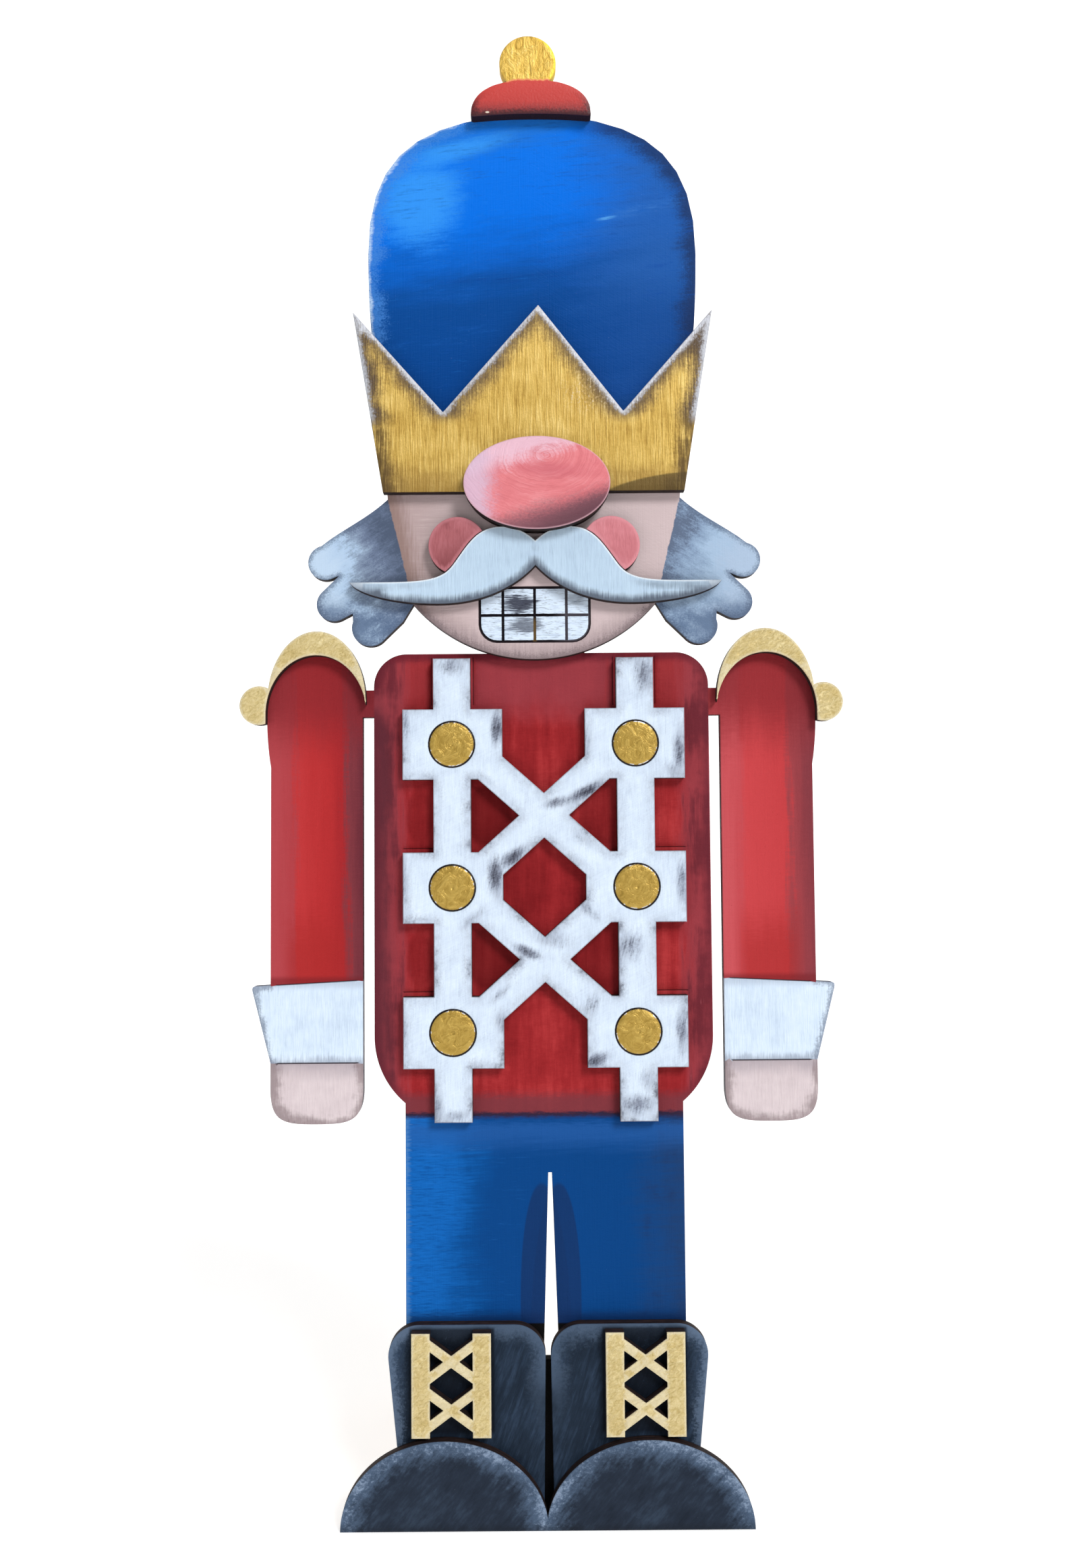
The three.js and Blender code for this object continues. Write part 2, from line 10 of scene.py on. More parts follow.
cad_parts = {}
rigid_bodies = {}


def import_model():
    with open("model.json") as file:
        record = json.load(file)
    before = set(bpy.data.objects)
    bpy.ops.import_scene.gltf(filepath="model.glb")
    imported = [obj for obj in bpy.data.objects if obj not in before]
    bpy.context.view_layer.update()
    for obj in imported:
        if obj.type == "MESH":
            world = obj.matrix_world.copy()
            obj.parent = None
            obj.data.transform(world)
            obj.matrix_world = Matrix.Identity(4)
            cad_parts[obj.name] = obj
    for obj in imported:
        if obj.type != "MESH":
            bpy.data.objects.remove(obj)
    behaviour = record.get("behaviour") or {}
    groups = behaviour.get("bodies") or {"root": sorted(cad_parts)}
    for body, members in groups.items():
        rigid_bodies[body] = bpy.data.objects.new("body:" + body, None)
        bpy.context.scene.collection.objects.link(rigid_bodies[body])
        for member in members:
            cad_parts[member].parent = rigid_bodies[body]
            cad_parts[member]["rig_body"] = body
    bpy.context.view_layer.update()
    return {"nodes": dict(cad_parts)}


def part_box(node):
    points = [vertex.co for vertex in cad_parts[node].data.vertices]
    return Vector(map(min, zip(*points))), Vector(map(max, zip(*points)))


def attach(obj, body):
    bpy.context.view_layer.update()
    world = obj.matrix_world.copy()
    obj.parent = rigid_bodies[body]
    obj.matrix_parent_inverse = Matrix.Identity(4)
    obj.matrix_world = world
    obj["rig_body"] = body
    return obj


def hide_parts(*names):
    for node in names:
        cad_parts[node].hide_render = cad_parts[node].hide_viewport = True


# A nutcracker soldier in layers of painted plywood. Each board of the frame is rebuilt as a finely
# meshed plate with rounded edges and scored lines, and painted by procedural materials.
# Camera, floor and light are set in metres and degrees. All other lengths are millimetres up to the
# point where a mesh is made.

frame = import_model()

MM = 0.001
HEAD_X = sum(corner.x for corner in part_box("head_panel")) / 2 / MM

# ---- camera, floor and light

CAMERA_PLACE = (-0.00325, -0.6572, 0.3378)
CAMERA_TILT = 2.7
CAMERA_ROLL = 0.45
CAMERA_LENS = 29.18
CAMERA_SENSOR = 36
FLOOR_SIDE = 8.0
FLOOR_DEPTH = 5.0
FLOOR_GREY = (0.7, 0.7, 0.7, 1)
FLOOR_ROUGH = 0.9
FLOOR_GLOW = 0.58
BACKDROP_HIGH = 6.0
BACKDROP_ROUND = 1.6
BACKDROP_STEPS = 24
SUN_TOWARDS = (0.45, -0.75, 0.6)
SUN_POWER = 2.12
SUN_WIDTH = 20
SKY_POWER = 0.42  # overhead, beside and behind
SKY_FRONT = 0.24  # straight in front, where the photographer stands
SKY_FADE = (-0.95, -0.25)  # Y of the directions between which the sky goes from front to full power


def add_camera():
    data = bpy.data.cameras.new("camera")
    data.lens = CAMERA_LENS
    data.sensor_width = CAMERA_SENSOR
    data.clip_start = 0.01
    camera = bpy.data.objects.new("camera", data)
    tilt = Matrix.Rotation(math.radians(CAMERA_TILT), 4, "X")
    roll = Matrix.Rotation(math.radians(CAMERA_ROLL), 4, "Y")
    upright = Matrix.Rotation(math.radians(90), 4, "X")
    camera.matrix_world = Matrix.Translation(CAMERA_PLACE) @ tilt @ roll @ upright
    bpy.context.scene.collection.objects.link(camera)
    bpy.context.scene.camera = camera


def add_floor():
    """A pale sheet that lies under the figure and curves up behind it."""
    turns = np.linspace(0, math.pi / 2, BACKDROP_STEPS + 1)
    near = FLOOR_DEPTH - BACKDROP_ROUND
    path = [(-FLOOR_SIDE / 2, 0)]
    path += [(near + BACKDROP_ROUND * math.sin(t), BACKDROP_ROUND * (1 - math.cos(t))) for t in turns]
    path.append((FLOOR_DEPTH, BACKDROP_HIGH))
    verts = [(side * FLOOR_SIDE, y, z) for y, z in path for side in (-1, 1)]
    faces = [(2 * i, 2 * i + 1, 2 * i + 3, 2 * i + 2) for i in range(len(path) - 1)]
    mesh = bpy.data.meshes.new("floor")
    mesh.from_pydata(verts, [], faces)
    mesh.shade_smooth()
    floor = bpy.data.objects.new("floor", mesh)
    bpy.context.scene.collection.objects.link(floor)
    material = bpy.data.materials.new("floor")
    material.use_nodes = True
    shader = material.node_tree.nodes["Principled BSDF"]
    shader.inputs["Base Color"].default_value = FLOOR_GREY
    shader.inputs["Roughness"].default_value = FLOOR_ROUGH
    shader.inputs["Emission Color"].default_value = (1, 1, 1, 1)
    shader.inputs["Emission Strength"].default_value = FLOOR_GLOW
    mesh.materials.append(material)


def add_light():
    sun_data = bpy.data.lights.new("sun", "SUN")
    sun_data.energy = SUN_POWER
    sun_data.angle = math.radians(SUN_WIDTH)
    sun = bpy.data.objects.new("sun", sun_data)
    sun.matrix_world = Vector(SUN_TOWARDS).to_track_quat("Z", "Y").to_matrix().to_4x4()
    bpy.context.scene.collection.objects.link(sun)
    world = bpy.data.worlds.new("studio")
    world.use_nodes = True
    tree = world.node_tree
    direction = tree.nodes.new("ShaderNodeSeparateXYZ")
    fade = tree.nodes.new("ShaderNodeMapRange")
    fade.interpolation_type = "SMOOTHSTEP"
    fade.inputs["From Min"].default_value, fade.inputs["From Max"].default_value = SKY_FADE
    fade.inputs["To Min"].default_value = SKY_FRONT
    fade.inputs["To Max"].default_value = SKY_POWER
    tree.links.new(tree.nodes.new("ShaderNodeTexCoord").outputs["Generated"], direction.inputs[0])
    tree.links.new(direction.outputs["Y"], fade.inputs["Value"])
    tree.links.new(fade.outputs["Result"], tree.nodes["Background"].inputs["Strength"])
    tree.nodes["Background"].inputs["Color"].default_value = (1, 1, 1, 1)
    bpy.context.scene.world = world
    bpy.context.scene.view_settings.view_transform = "Standard"


# ---- shader arithmetic

NOISE_GAIN = 4.5  # spreads Blender's noise, mostly 0.3 to 0.7, to about -1 to 1
NOISE_STRIDE = (37.0, 11.0, 53.0)  # millimetres between the starts of one paint's noises
NOISE_DEEP = 60  # features this long through a board look the same on its face and its rounded edge
TONE_END = 1.2  # value of added noises at which the darkest and the palest tone are reached
FAR = 1e6


def linear(rgb):
    """A colour given as 0 to 255 in sRGB, as Blender's linear colour."""
    parts = [value / 255 for value in rgb]
    return tuple(p / 12.92 if p < 0.04045 else ((p + 0.055) / 1.055) ** 2.4 for p in parts) + (1.0,)


class Value:
    """A number that varies over the surface, worked out by shader nodes."""

    def __init__(self, paint, socket):
        self.paint = paint
        self.socket = socket

    def __add__(self, other):
        return self.paint.math("ADD", self, other)

    def __sub__(self, other):
        return self.paint.math("SUBTRACT", self, other)

    def __rsub__(self, other):
        return self.paint.math("SUBTRACT", other, self)

    def __mul__(self, other):
        return self.paint.math("MULTIPLY", self, other)

    def __abs__(self):
        return self.paint.math("ABSOLUTE", self)

    __radd__ = __add__
    __rmul__ = __mul__


class Paint:
    """A procedural material. Places and sizes in it are millimetres in the row frame."""

    def __init__(self, name):
        self.material = bpy.data.materials.new(name)
        self.material.use_nodes = True
        self.tree = self.material.node_tree
        self.tree.nodes.clear()
        self.seed = 0
        self.colour = None
        scaled = self.node("ShaderNodeVectorMath", operation="SCALE")
        self.link(self.node("ShaderNodeTexCoord").outputs["Object"], scaled.inputs[0])
        scaled.inputs["Scale"].default_value = 1 / MM
        self.place = scaled.outputs[0]
        parts = self.node("ShaderNodeSeparateXYZ")
        self.link(self.place, parts.inputs[0])
        self.x, self.y, self.z = (Value(self, socket) for socket in parts.outputs)
        self.edge, self.groove = self.attribute("edge"), self.attribute("groove")

    def node(self, kind, **settings):
        made = self.tree.nodes.new(kind)
        for key, value in settings.items():
            setattr(made, key, value)
        return made

    def link(self, value, socket):
        if isinstance(value, Value):
            self.tree.links.new(value.socket, socket)
        elif isinstance(value, bpy.types.NodeSocket):
            self.tree.links.new(value, socket)
        else:
            socket.default_value = value

    def math(self, operation, *values):
        made = self.node("ShaderNodeMath", operation=operation)
        for value, socket in zip(values, made.inputs):
            self.link(value, socket)
        return Value(self, made.outputs[0])

    def fold(self, operation, values):
        """The smallest or the largest of several values."""
        return functools.reduce(lambda one, other: self.math(operation, one, other), values)

    def attribute(self, name):
        """What the mesh says at each point: distance to the outline, or depth of a scored line."""
        return Value(self, self.node("ShaderNodeAttribute", attribute_name=name).outputs["Fac"])

    def step(self, value, low, high):
        """0 at low and 1 at high, with a soft change between. Low may be the larger."""
        made = self.node("ShaderNodeMapRange", interpolation_type="SMOOTHSTEP")
        self.link(value, made.inputs["Value"])
        made.inputs["From Min"].default_value = low
        made.inputs["From Max"].default_value = high
        return Value(self, made.outputs["Result"])

    def joined(self, x, y, z):
        made = self.node("ShaderNodeCombineXYZ")
        for value, socket in zip((x, y, z), made.inputs):
            self.link(value, socket)
        return made.outputs[0]

    def within(self, middle, size, angle, source=None):
        """Places measured from a middle, in units of a size, along axes turned by an angle."""
        made = self.node("ShaderNodeMapping", vector_type="TEXTURE")
        self.link(source or self.place, made.inputs["Vector"])
        made.inputs["Location"].default_value = middle
        made.inputs["Rotation"].default_value = (0, math.radians(-angle), 0)
        made.inputs["Scale"].default_value = size
        return made.outputs[0]

    def noise(self, wide, high, deep=NOISE_DEEP, angle=0, detail=4, rough=0.6, warp=0.0, source=None):
        """Noise around 0, about -1 to 1, with features of a size, turned in the board's plane."""
        self.seed += 1
        made = self.node("ShaderNodeTexNoise")
        middle = [stride * self.seed for stride in NOISE_STRIDE]
        self.link(self.within(middle, (wide, deep, high), angle, source), made.inputs["Vector"])
        made.inputs["Scale"].default_value = 1
        made.inputs["Detail"].default_value = detail
        made.inputs["Roughness"].default_value = rough
        made.inputs["Distortion"].default_value = warp
        return (Value(self, made.outputs["Fac"]) - 0.5) * NOISE_GAIN

    def specks(self, wide, high, low=1.0, full=1.25):
        """Small separate marks, 1 on a mark."""
        return self.step(self.noise(wide, high, detail=2), low, full)

    def reach(self, x, z, half_wide=1, half_high=1, angle=0):
        """Distance from a middle, 1 on the ellipse with these half sizes."""
        made = self.node("ShaderNodeVectorMath", operation="LENGTH")
        self.link(self.within((x, 0, z), (half_wide, FAR, half_high), angle), made.inputs[0])
        return Value(self, made.outputs["Value"])

    def spot(self, x, z, half_wide, half_high, angle=0, soft=0.8):
        """1 in the middle of an ellipse and 0 outside it."""
        return self.step(self.reach(x, z, half_wide, half_high, angle), 1, 1 - soft)

    def over(self, under, colour, share):
        """Lays a colour over another. Colours are 0 to 255 in sRGB, or the result of an earlier call."""
        made = self.node("ShaderNodeMix", data_type="RGBA")
        self.link(share, made.inputs[0])
        for value, socket in ((under, made.inputs[6]), (colour, made.inputs[7])):
            self.link(linear(value) if isinstance(value, tuple) else value, socket)
        return made.outputs[2]

    def coat(self, colour, share):
        """Brushes a colour over what the paint has so far."""
        self.colour = self.over(self.colour, colour, share)
        return self.colour

    def tones(self, value, dark, middle, pale):
        return self.ramp(value, [(-TONE_END, dark), (0, middle), (TONE_END, pale)])

    def ramp(self, value, stops):
        """Colours along a value. Each stop is a value and a colour, from low to high."""
        low, high = stops[0][0], stops[-1][0]
        made = self.node("ShaderNodeValToRGB")
        while len(made.color_ramp.elements) < len(stops):
            made.color_ramp.elements.new(0.5)
        for element, (at, colour) in zip(made.color_ramp.elements, stops):
            element.position = (at - low) / (high - low)
            element.color = linear(colour)
        self.link((value - low) * (1 / (high - low)), made.inputs["Fac"])
        return made.outputs["Color"]

    def close(self, relief, roughness=0.5, metallic=0.0, shine=0.06):
        """Ends the material. Relief is a height in millimetres."""
        shader = self.node("ShaderNodeBsdfPrincipled")
        self.link(self.colour, shader.inputs["Base Color"])
        self.link(roughness, shader.inputs["Roughness"])
        self.link(metallic, shader.inputs["Metallic"])
        shader.inputs["Specular IOR Level"].default_value = shine
        bump = self.node("ShaderNodeBump")
        bump.inputs["Distance"].default_value = MM
        self.link(relief, bump.inputs["Height"])
        self.link(bump.outputs["Normal"], shader.inputs["Normal"])
        output = self.node("ShaderNodeOutputMaterial")
        self.link(shader.outputs["BSDF"], output.inputs["Surface"])
        return self.material


# ---- plates

OUTLINE_STEP = 1.4
CORNER_TURN = math.radians(33)
STRAIGHT_LENGTH = 12.0  # a longer edge of the CAD outline is straight
STRAIGHT_RATIO = 2.3  # and so is one this many times as long as its shorter neighbour
FACE_FLAT = 0.01  # corners this close to the frontmost point lie on the front face
SNAP = 1e-4  # points this close become one in a triangulation
FRONT_ROUND = 0.5
BACK_ROUND = 0.3
ROUND_RINGS = 3
MITRE_LIMIT = 0.4  # an inset corner moves by at most 1 / 0.4 of the distance
SMOOTH_ANGLE = math.radians(34)  # faces that meet at more than this keep a sharp edge
GRID = 3.2  # step between the points inside a face
GRID_CLEAR = 0.55  # share of the grid's step kept free beside outlines and scored lines
CHUNK = 4000  # points tested at a time, to save memory
GROOVE_WIDE = 1.6
GROOVE_DEEP = 0.45
GROOVE_STEP = 2.0
TINY_AREA = 0.01  # a smaller triangle is a sliver
FRONT, EDGE, BACK = 0, 1, 2


def unit(vectors):
    return vectors / np.maximum(np.linalg.norm(vectors, axis=-1, keepdims=True), 1e-9)


def board_outlines(node):
    """Closed outlines of a board's front face, and where its front and back lie along Y."""
    mesh = frame["nodes"][node].data
    places = np.array([v.co[:] for v in mesh.vertices]) / MM
    front, back = places[:, 1].min(), places[:, 1].max()
    edges = set()
    for face in mesh.polygons:
        corners = [tuple(np.round(places[i], 3)) for i in face.vertices]
        if all(abs(corner[1] - front) < FACE_FLAT for corner in corners):
            flat = [(corner[0], corner[2]) for corner in corners]
            edges.update(zip(flat, flat[1:] + flat[:1]))
    onward = {a: b for a, b in edges if (b, a) not in edges}
    loops = []
    while onward:
        start, at = onward.popitem()
        loop = [start]
        while at != start:
            loop.append(at)
            at = onward.pop(at)
        loops.append(np.array(loop))
    return loops, front, back


def refined(loop):
    """An outline in short steps, with its corners kept and its round stretches made smooth."""
    ahead = np.roll(loop, -1, axis=0) - loop
    length = np.linalg.norm(ahead, axis=1)
    along = unit(ahead)
    before = np.roll(along, 1, axis=0)
    turn = np.abs(np.arctan2(np.cross(before, along), (before * along).sum(1)))
    corner = turn > CORNER_TURN
    shorter = np.minimum(np.roll(length, 1), np.roll(length, -1))
    straight = (length > STRAIGHT_LENGTH) | (length > STRAIGHT_RATIO * shorter)
    tangent = unit(before / np.roll(length, 1)[:, None] + along / length[:, None])
    tangent = np.where(straight[:, None], along, tangent)
    tangent = np.where((np.roll(straight, 1) & ~straight)[:, None], before, tangent)
    made = []
    for i in range(len(loop)):
        j = (i + 1) % len(loop)
        leave = along[i] if straight[i] or corner[i] and corner[j] else tangent[i]
        reach = along[i] if straight[i] or corner[i] and corner[j] else tangent[j]
        if corner[i] and not corner[j] and not straight[i]:
            leave = unit(2 * along[i] - reach)
        if corner[j] and not corner[i] and not straight[i]:
            reach = unit(2 * along[i] - leave)
        count = max(1, round(length[i] / OUTLINE_STEP))
        t = (np.arange(count) / count)[:, None]
        curve = (2 * t**3 - 3 * t**2 + 1) * loop[i] + (3 * t**2 - 2 * t**3) * loop[j]
        curve += length[i] * ((t**3 - 2 * t**2 + t) * leave + (t**3 - t**2) * reach)
        made.append(curve)
    return np.concatenate(made)


def inset(loop, distance):
    """An outline moved towards the wood by a distance."""
    before = unit(loop - np.roll(loop, 1, axis=0))
    after = unit(np.roll(loop, -1, axis=0) - loop)
    first = np.stack([-before[:, 1], before[:, 0]], axis=1)
    second = np.stack([-after[:, 1], after[:, 0]], axis=1)
    middle = unit(first + second)
    stretch = 1 / np.maximum((middle * first).sum(1), MITRE_LIMIT)
    return loop + middle * (distance * stretch)[:, None]


def inside(points, loops):
    """Whether each point is inside the outlines, with holes taken out."""
    found = np.zeros(len(points), bool)
    for loop in loops:
        a, b = loop, np.roll(loop, -1, axis=0)
        for start in range(0, len(points), CHUNK):
            part = points[start : start + CHUNK]
            x, z = part[:, 0:1], part[:, 1:2]
            spans = (a[:, 1] > z) != (b[:, 1] > z)
            rise = np.where(b[:, 1] == a[:, 1], 1e-12, b[:, 1] - a[:, 1])
            cross = a[:, 0] + (z - a[:, 1]) * (b[:, 0] - a[:, 0]) / rise
            found[start : start + CHUNK] ^= ((spans & (x < cross)).sum(1) % 2).astype(bool)
    return found


def closest(points, targets):
    """The number of the target nearest to each point, and the distance to it."""
    tree = kdtree.KDTree(len(targets))
    for i, (x, z) in enumerate(targets):
        tree.insert((x, z, 0), i)
    tree.balance()
    found = np.array([tree.find((x, z, 0))[1:] for x, z in points]).reshape(-1, 2)
    return found[:, 0].astype(int), found[:, 1]


def to_segments(points, a, b):
    """Distance from points to the straight segments from a to b."""
    span = b - a
    t = ((points - a) * span).sum(-1) / np.maximum((span**2).sum(-1), 1e-12)
    foot = a + np.clip(t, 0, 1)[..., None] * span
    return np.linalg.norm(points - foot, axis=-1)


def nearest(points, loops):
    """Distance from each point to the outlines."""
    starts = np.concatenate(loops)
    found = closest(points, starts)[0]
    before, after = (np.concatenate([np.roll(loop, way, axis=0) for loop in loops]) for way in (1, -1))
    return np.minimum(*(to_segments(points, starts[found], ends[found]) for ends in (before, after)))


def line(*corners):
    """A scored line through corners, in short steps."""
    made = []
    for a, b in zip(np.array(corners[:-1], float), np.array(corners[1:], float)):
        count = max(1, round(np.linalg.norm(b - a) / GROOVE_STEP))
        made.append(a + (np.arange(count) / count)[:, None] * (b - a))
    made.append(np.array([corners[-1]], float))
    return np.concatenate(made)


def ring(x, z, radius, closed=True):
    count = max(24, round(2 * math.pi * radius / GROOVE_STEP))
    turn = 2 * math.pi * np.arange(count + closed) / count
    return np.stack([x + radius * np.cos(turn), z + radius * np.sin(turn)], axis=1)


def groove_rows(path):
    """The two sides of a scored line, with its middle between them."""
    closed = np.allclose(path[0], path[-1])
    ahead = np.gradient(path, axis=0)
    if closed:
        ahead[0] = ahead[-1] = path[1] - path[-2]
    normal = unit(np.stack([-ahead[:, 1], ahead[:, 0]], axis=1))
    return [path + side * GROOVE_WIDE / 2 * normal for side in (-1, 0, 1)]


def groove_depth(points, grooves):
    """1 in the middle of a scored line and 0 at its sides."""
    depth = np.zeros(len(points))
    for path in grooves:
        away = to_segments(points[:, None], path[:-1], path[1:]).min(1)
        depth = np.maximum(depth, 1 - away / (GROOVE_WIDE / 2))
    return np.clip(depth, 0, 1)


def grid_points(loops, grooves, extra):
    """Points spread evenly over a board, clear of its outlines and its scored lines."""
    every = np.concatenate(loops)
    low, high = every.min(0), every.max(0)
    rows = np.arange(low[1], high[1], GRID * math.sqrt(3) / 2)
    made = [extra]
    for i, z in enumerate(rows):
        x = np.arange(low[0] + (i % 2) * GRID / 2, high[0], GRID)
        made.append(np.stack([x, np.full(len(x), z)], axis=1))
    points = np.concatenate(made)
    points = points[inside(points, loops)]
    away = closest(points, np.concatenate([*loops, *grooves]))[1]
    return points[away > GRID_CLEAR * GRID]


def constraint_rows(loops, rows):
    """Points of the outlines and the scored lines, and the edges that a triangulation has to keep."""
    points, edges, start = [], [], 0
    for row in (*loops, *rows):
        returns = np.allclose(row[0], row[-1])
        closed = returns or len(points) < len(loops)
        kept = row[:-1] if returns else row
        count = len(kept)
        edges += [(start + i, start + (i + 1) % count) for i in range(count if closed else count - 1)]
        points.append(kept)
        start += count
    return np.concatenate(points), edges


def within_outline(places, faces, outline, loops):
    """The triangles on the wood's side of the outline. Slivers go with their neighbours."""
    corners = places[faces]
    sides = corners[:, 1:] - corners[:, :1]
    area = np.abs(sides[:, 0, 0] * sides[:, 1, 1] - sides[:, 0, 1] * sides[:, 1, 0]) / 2
    kept = (area > TINY_AREA) & inside(corners.mean(1), loops)
    owners = {}
    for i, (a, b, c) in enumerate(faces):
        for pair in ((a, b), (b, c), (c, a)):
            owners.setdefault((min(pair), max(pair)), []).append(i)
    joined = [pair for key, pair in owners.items() if len(pair) == 2 and key not in outline]
    slivers = set(np.flatnonzero(area <= TINY_AREA))
    joined = [pair for pair in joined if slivers.intersection(pair)]
    changed = True
    while changed:
        changed = False
        for one, other in joined:
            for sliver, near in ((one, other), (other, one)):
                if sliver in slivers and kept[near] and not kept[sliver]:
                    kept[sliver] = changed = True
    return faces[kept]


def triangulated(loops, rows, points):
    """Triangles over a face. Returns new places, and triangles that count the outline's points first."""
    held, edges = constraint_rows(loops, rows)
    count = sum(len(loop) for loop in loops)
    held = np.concatenate([held, points])
    places, _, faces, origin, _, _ = geometry.delaunay_2d_cdt(held.tolist(), edges, [], 0, SNAP, True)
    places, faces = np.array([p[:] for p in places]), np.array(faces)
    known = {i: min(o) for i, o in enumerate(origin) if o and min(o) < count}
    place_of = {k: i for i, k in known.items()}
    outline = {tuple(sorted((place_of[a], place_of[b]))) for a, b in edges if max(a, b) < count}
    faces = within_outline(places, faces, outline, loops)
    index, added = {}, []
    for i in np.unique(faces):
        index[i] = known.get(i, count + len(added))
        if i not in known:
            added.append(places[i])
    return np.array(added).reshape(-1, 2), [[index[i] for i in face] for face in faces]


def clipped(path, loops):
    """The longest stretch of a scored line that stays clear of the outline."""
    good = inside(path, loops) & (nearest(path, loops) > FRONT_ROUND + GROOVE_WIDE)
    if good.all():
        return path
    marks = np.flatnonzero(np.diff(np.concatenate([[0], good.astype(int), [0]])))
    spans = sorted(zip(marks[::2], marks[1::2]), key=lambda span: span[1] - span[0])
    return path[spans[-1][0] : spans[-1][1]]


def wall(outlines, front_y, back_y):
    """Side of a board from its back rounding to its front rounding: places, faces and kinds."""
    profile = [(BACK_ROUND, back_y), (0, back_y - BACK_ROUND)]
    for turn in np.linspace(0, math.pi / 2, ROUND_RINGS + 1):
        away, deep = FRONT_ROUND * (1 - math.cos(turn)), FRONT_ROUND * (1 - math.sin(turn))
        profile.append((away, front_y + deep))
    total = sum(len(loop) for loop in outlines)
    places, faces, kinds = [], [], []
    for level, (away, y) in enumerate(profile):
        moved = np.concatenate([inset(loop, away) for loop in outlines])
        places.append(np.stack([moved[:, 0], np.full(total, y), moved[:, 1]], axis=1))
        start = level * total
        for loop in outlines if level + 1 < len(profile) else ():
            after = (np.arange(len(loop)) + 1) % len(loop) + start
            faces += [(start + i, b, b + total, start + i + total) for i, b in enumerate(after)]
            kinds += [EDGE if level < 2 else FRONT] * len(loop)
            start += len(loop)
    return places, faces, kinds


def plate(node, front, edge=None, regions=(), grooves=(), swell=None, extra=()):
    """Rebuilds a board: round-edged, with scored lines, and painted by region.

    regions holds pairs of a material and a test of x and z. swell gives a height above the face.
    """
    outlines, front_y, back_y = board_outlines(node)
    outlines = [refined(loop) for loop in outlines]
    total = sum(len(loop) for loop in outlines)
    paths = [path for path in (clipped(path, outlines) for path in grooves) if len(path) > 2]
    places, faces, kinds = wall(outlines, front_y, back_y)
    first, last = (len(places) - 1) * total, len(places) * total

    face, rear = ([inset(loop, away) for loop in outlines] for away in (FRONT_ROUND, BACK_ROUND))
    spread = grid_points(face, paths, np.array(extra, float).reshape(-1, 2))
    rows = [row for path in paths for row in groove_rows(path)]
    added, triangles = triangulated(face, rows, spread)
    depth = groove_depth(added, paths)
    height = (swell(added[:, 0], added[:, 1]) if swell else 0) - GROOVE_DEEP * depth
    places.append(np.stack([added[:, 0], front_y - height, added[:, 1]], axis=1))
    faces += [tuple(i + first if i < total else i - total + last for i in t) for t in triangles]
    kinds += [FRONT] * len(triangles)
    triangles = triangulated(rear, [], np.zeros((0, 2)))[1]
    faces += [tuple(t) for t in triangles]
    kinds += [BACK] * len(triangles)

    places, kinds = np.concatenate(places), np.array(kinds)
    middles = np.array([places[list(f)].mean(0) for f in faces])
    for i, (_, test) in enumerate(regions):
        kinds[(kinds == FRONT) & test(middles[:, 0], middles[:, 2])] = BACK + 1 + i
    mesh = bpy.data.meshes.new(node)
    mesh.from_pydata((places * MM).tolist(), [], faces)
    for material in (front, edge or BURNT, BIRCH, *(material for material, _ in regions)):
        mesh.materials.append(material)
    mesh.polygons.foreach_set("material_index", kinds)
    add_attribute(mesh, "edge", nearest(places[:, [0, 2]], outlines))
    add_attribute(mesh, "groove", np.concatenate([np.zeros(last), depth]))
    return finish_mesh(mesh, f"{node}_painted", node)


def add_attribute(mesh, name, values):
    attribute = mesh.attributes.new(name, "FLOAT", "POINT")
    attribute.data.foreach_set("value", values.astype(np.float32))


def finish_mesh(mesh, name, node):
    """Turns the faces outwards, shades the round stretches smoothly and puts the piece on its body."""
    shape = bmesh.new()
    shape.from_mesh(mesh)
    bmesh.ops.recalc_face_normals(shape, faces=shape.faces)
    shape.to_mesh(mesh)
    shape.free()
    mesh.shade_smooth()
    mesh.set_sharp_from_angle(angle=SMOOTH_ANGLE)
    piece = bpy.data.objects.new(name, mesh)
    bpy.context.scene.collection.objects.link(piece)
    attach(piece, frame["nodes"][node]["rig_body"])
    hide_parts(node)
    return piece


# ---- paints shared by several boards


def burnt_edge():
    """Side of a board: plies darkened by the cut."""
    p = Paint("burnt_edge")
    grain = p.noise(5, 5, deep=2.5, detail=5)
    plies = p.noise(60, 60, deep=0.9, detail=1)
    p.colour = p.ramp(grain * 0.5 + plies * 0.6, [(-1, (17, 11, 12)), (0, (34, 24, 24)), (1, (66, 46, 40))])
    return p.close((grain + plies) * 0.05, roughness=0.75, shine=0.2)


def bare_birch():
    """Back of a board: unpainted birch veneer."""
    p = Paint("bare_birch")
    rings = p.noise(26, 300, deep=40, detail=3, warp=0.4)
    grain = p.noise(1.1, 45, deep=40, detail=5)
    flecks = p.step(p.noise(0.5, 3.5, deep=40, detail=1), 0.9, 1.3)
    p.colour = p.ramp(rings * 0.7 + grain * 0.5, [
        (-1.5, (176, 138, 94)), (0, (205, 171, 126)), (1.5, (222, 193, 150)),
    ])
    p.coat((142, 104, 68), flecks * 0.5)
    return p.close(grain * 0.03, roughness=0.7, shine=0.25)


def wood_grain(p):
    """Fine raised veneer grain that shows through the paint, upright."""
    return p.noise(0.75, 26, deep=40, detail=3, rough=0.55)


BURNT = burnt_edge()
BIRCH = bare_birch()

# ---- head

# Half width of the face at one height, and how much it grows with each millimetre above that.
HAIR_LINE = {"half": 62.3, "at": 461.0, "widens": 0.238}
HAT_FOOT = 545.0
TEETH = {"half": 28.2, "top": 469.5, "low": 441.6, "corner": 9.0, "mid": 455.2, "column": 16.3}


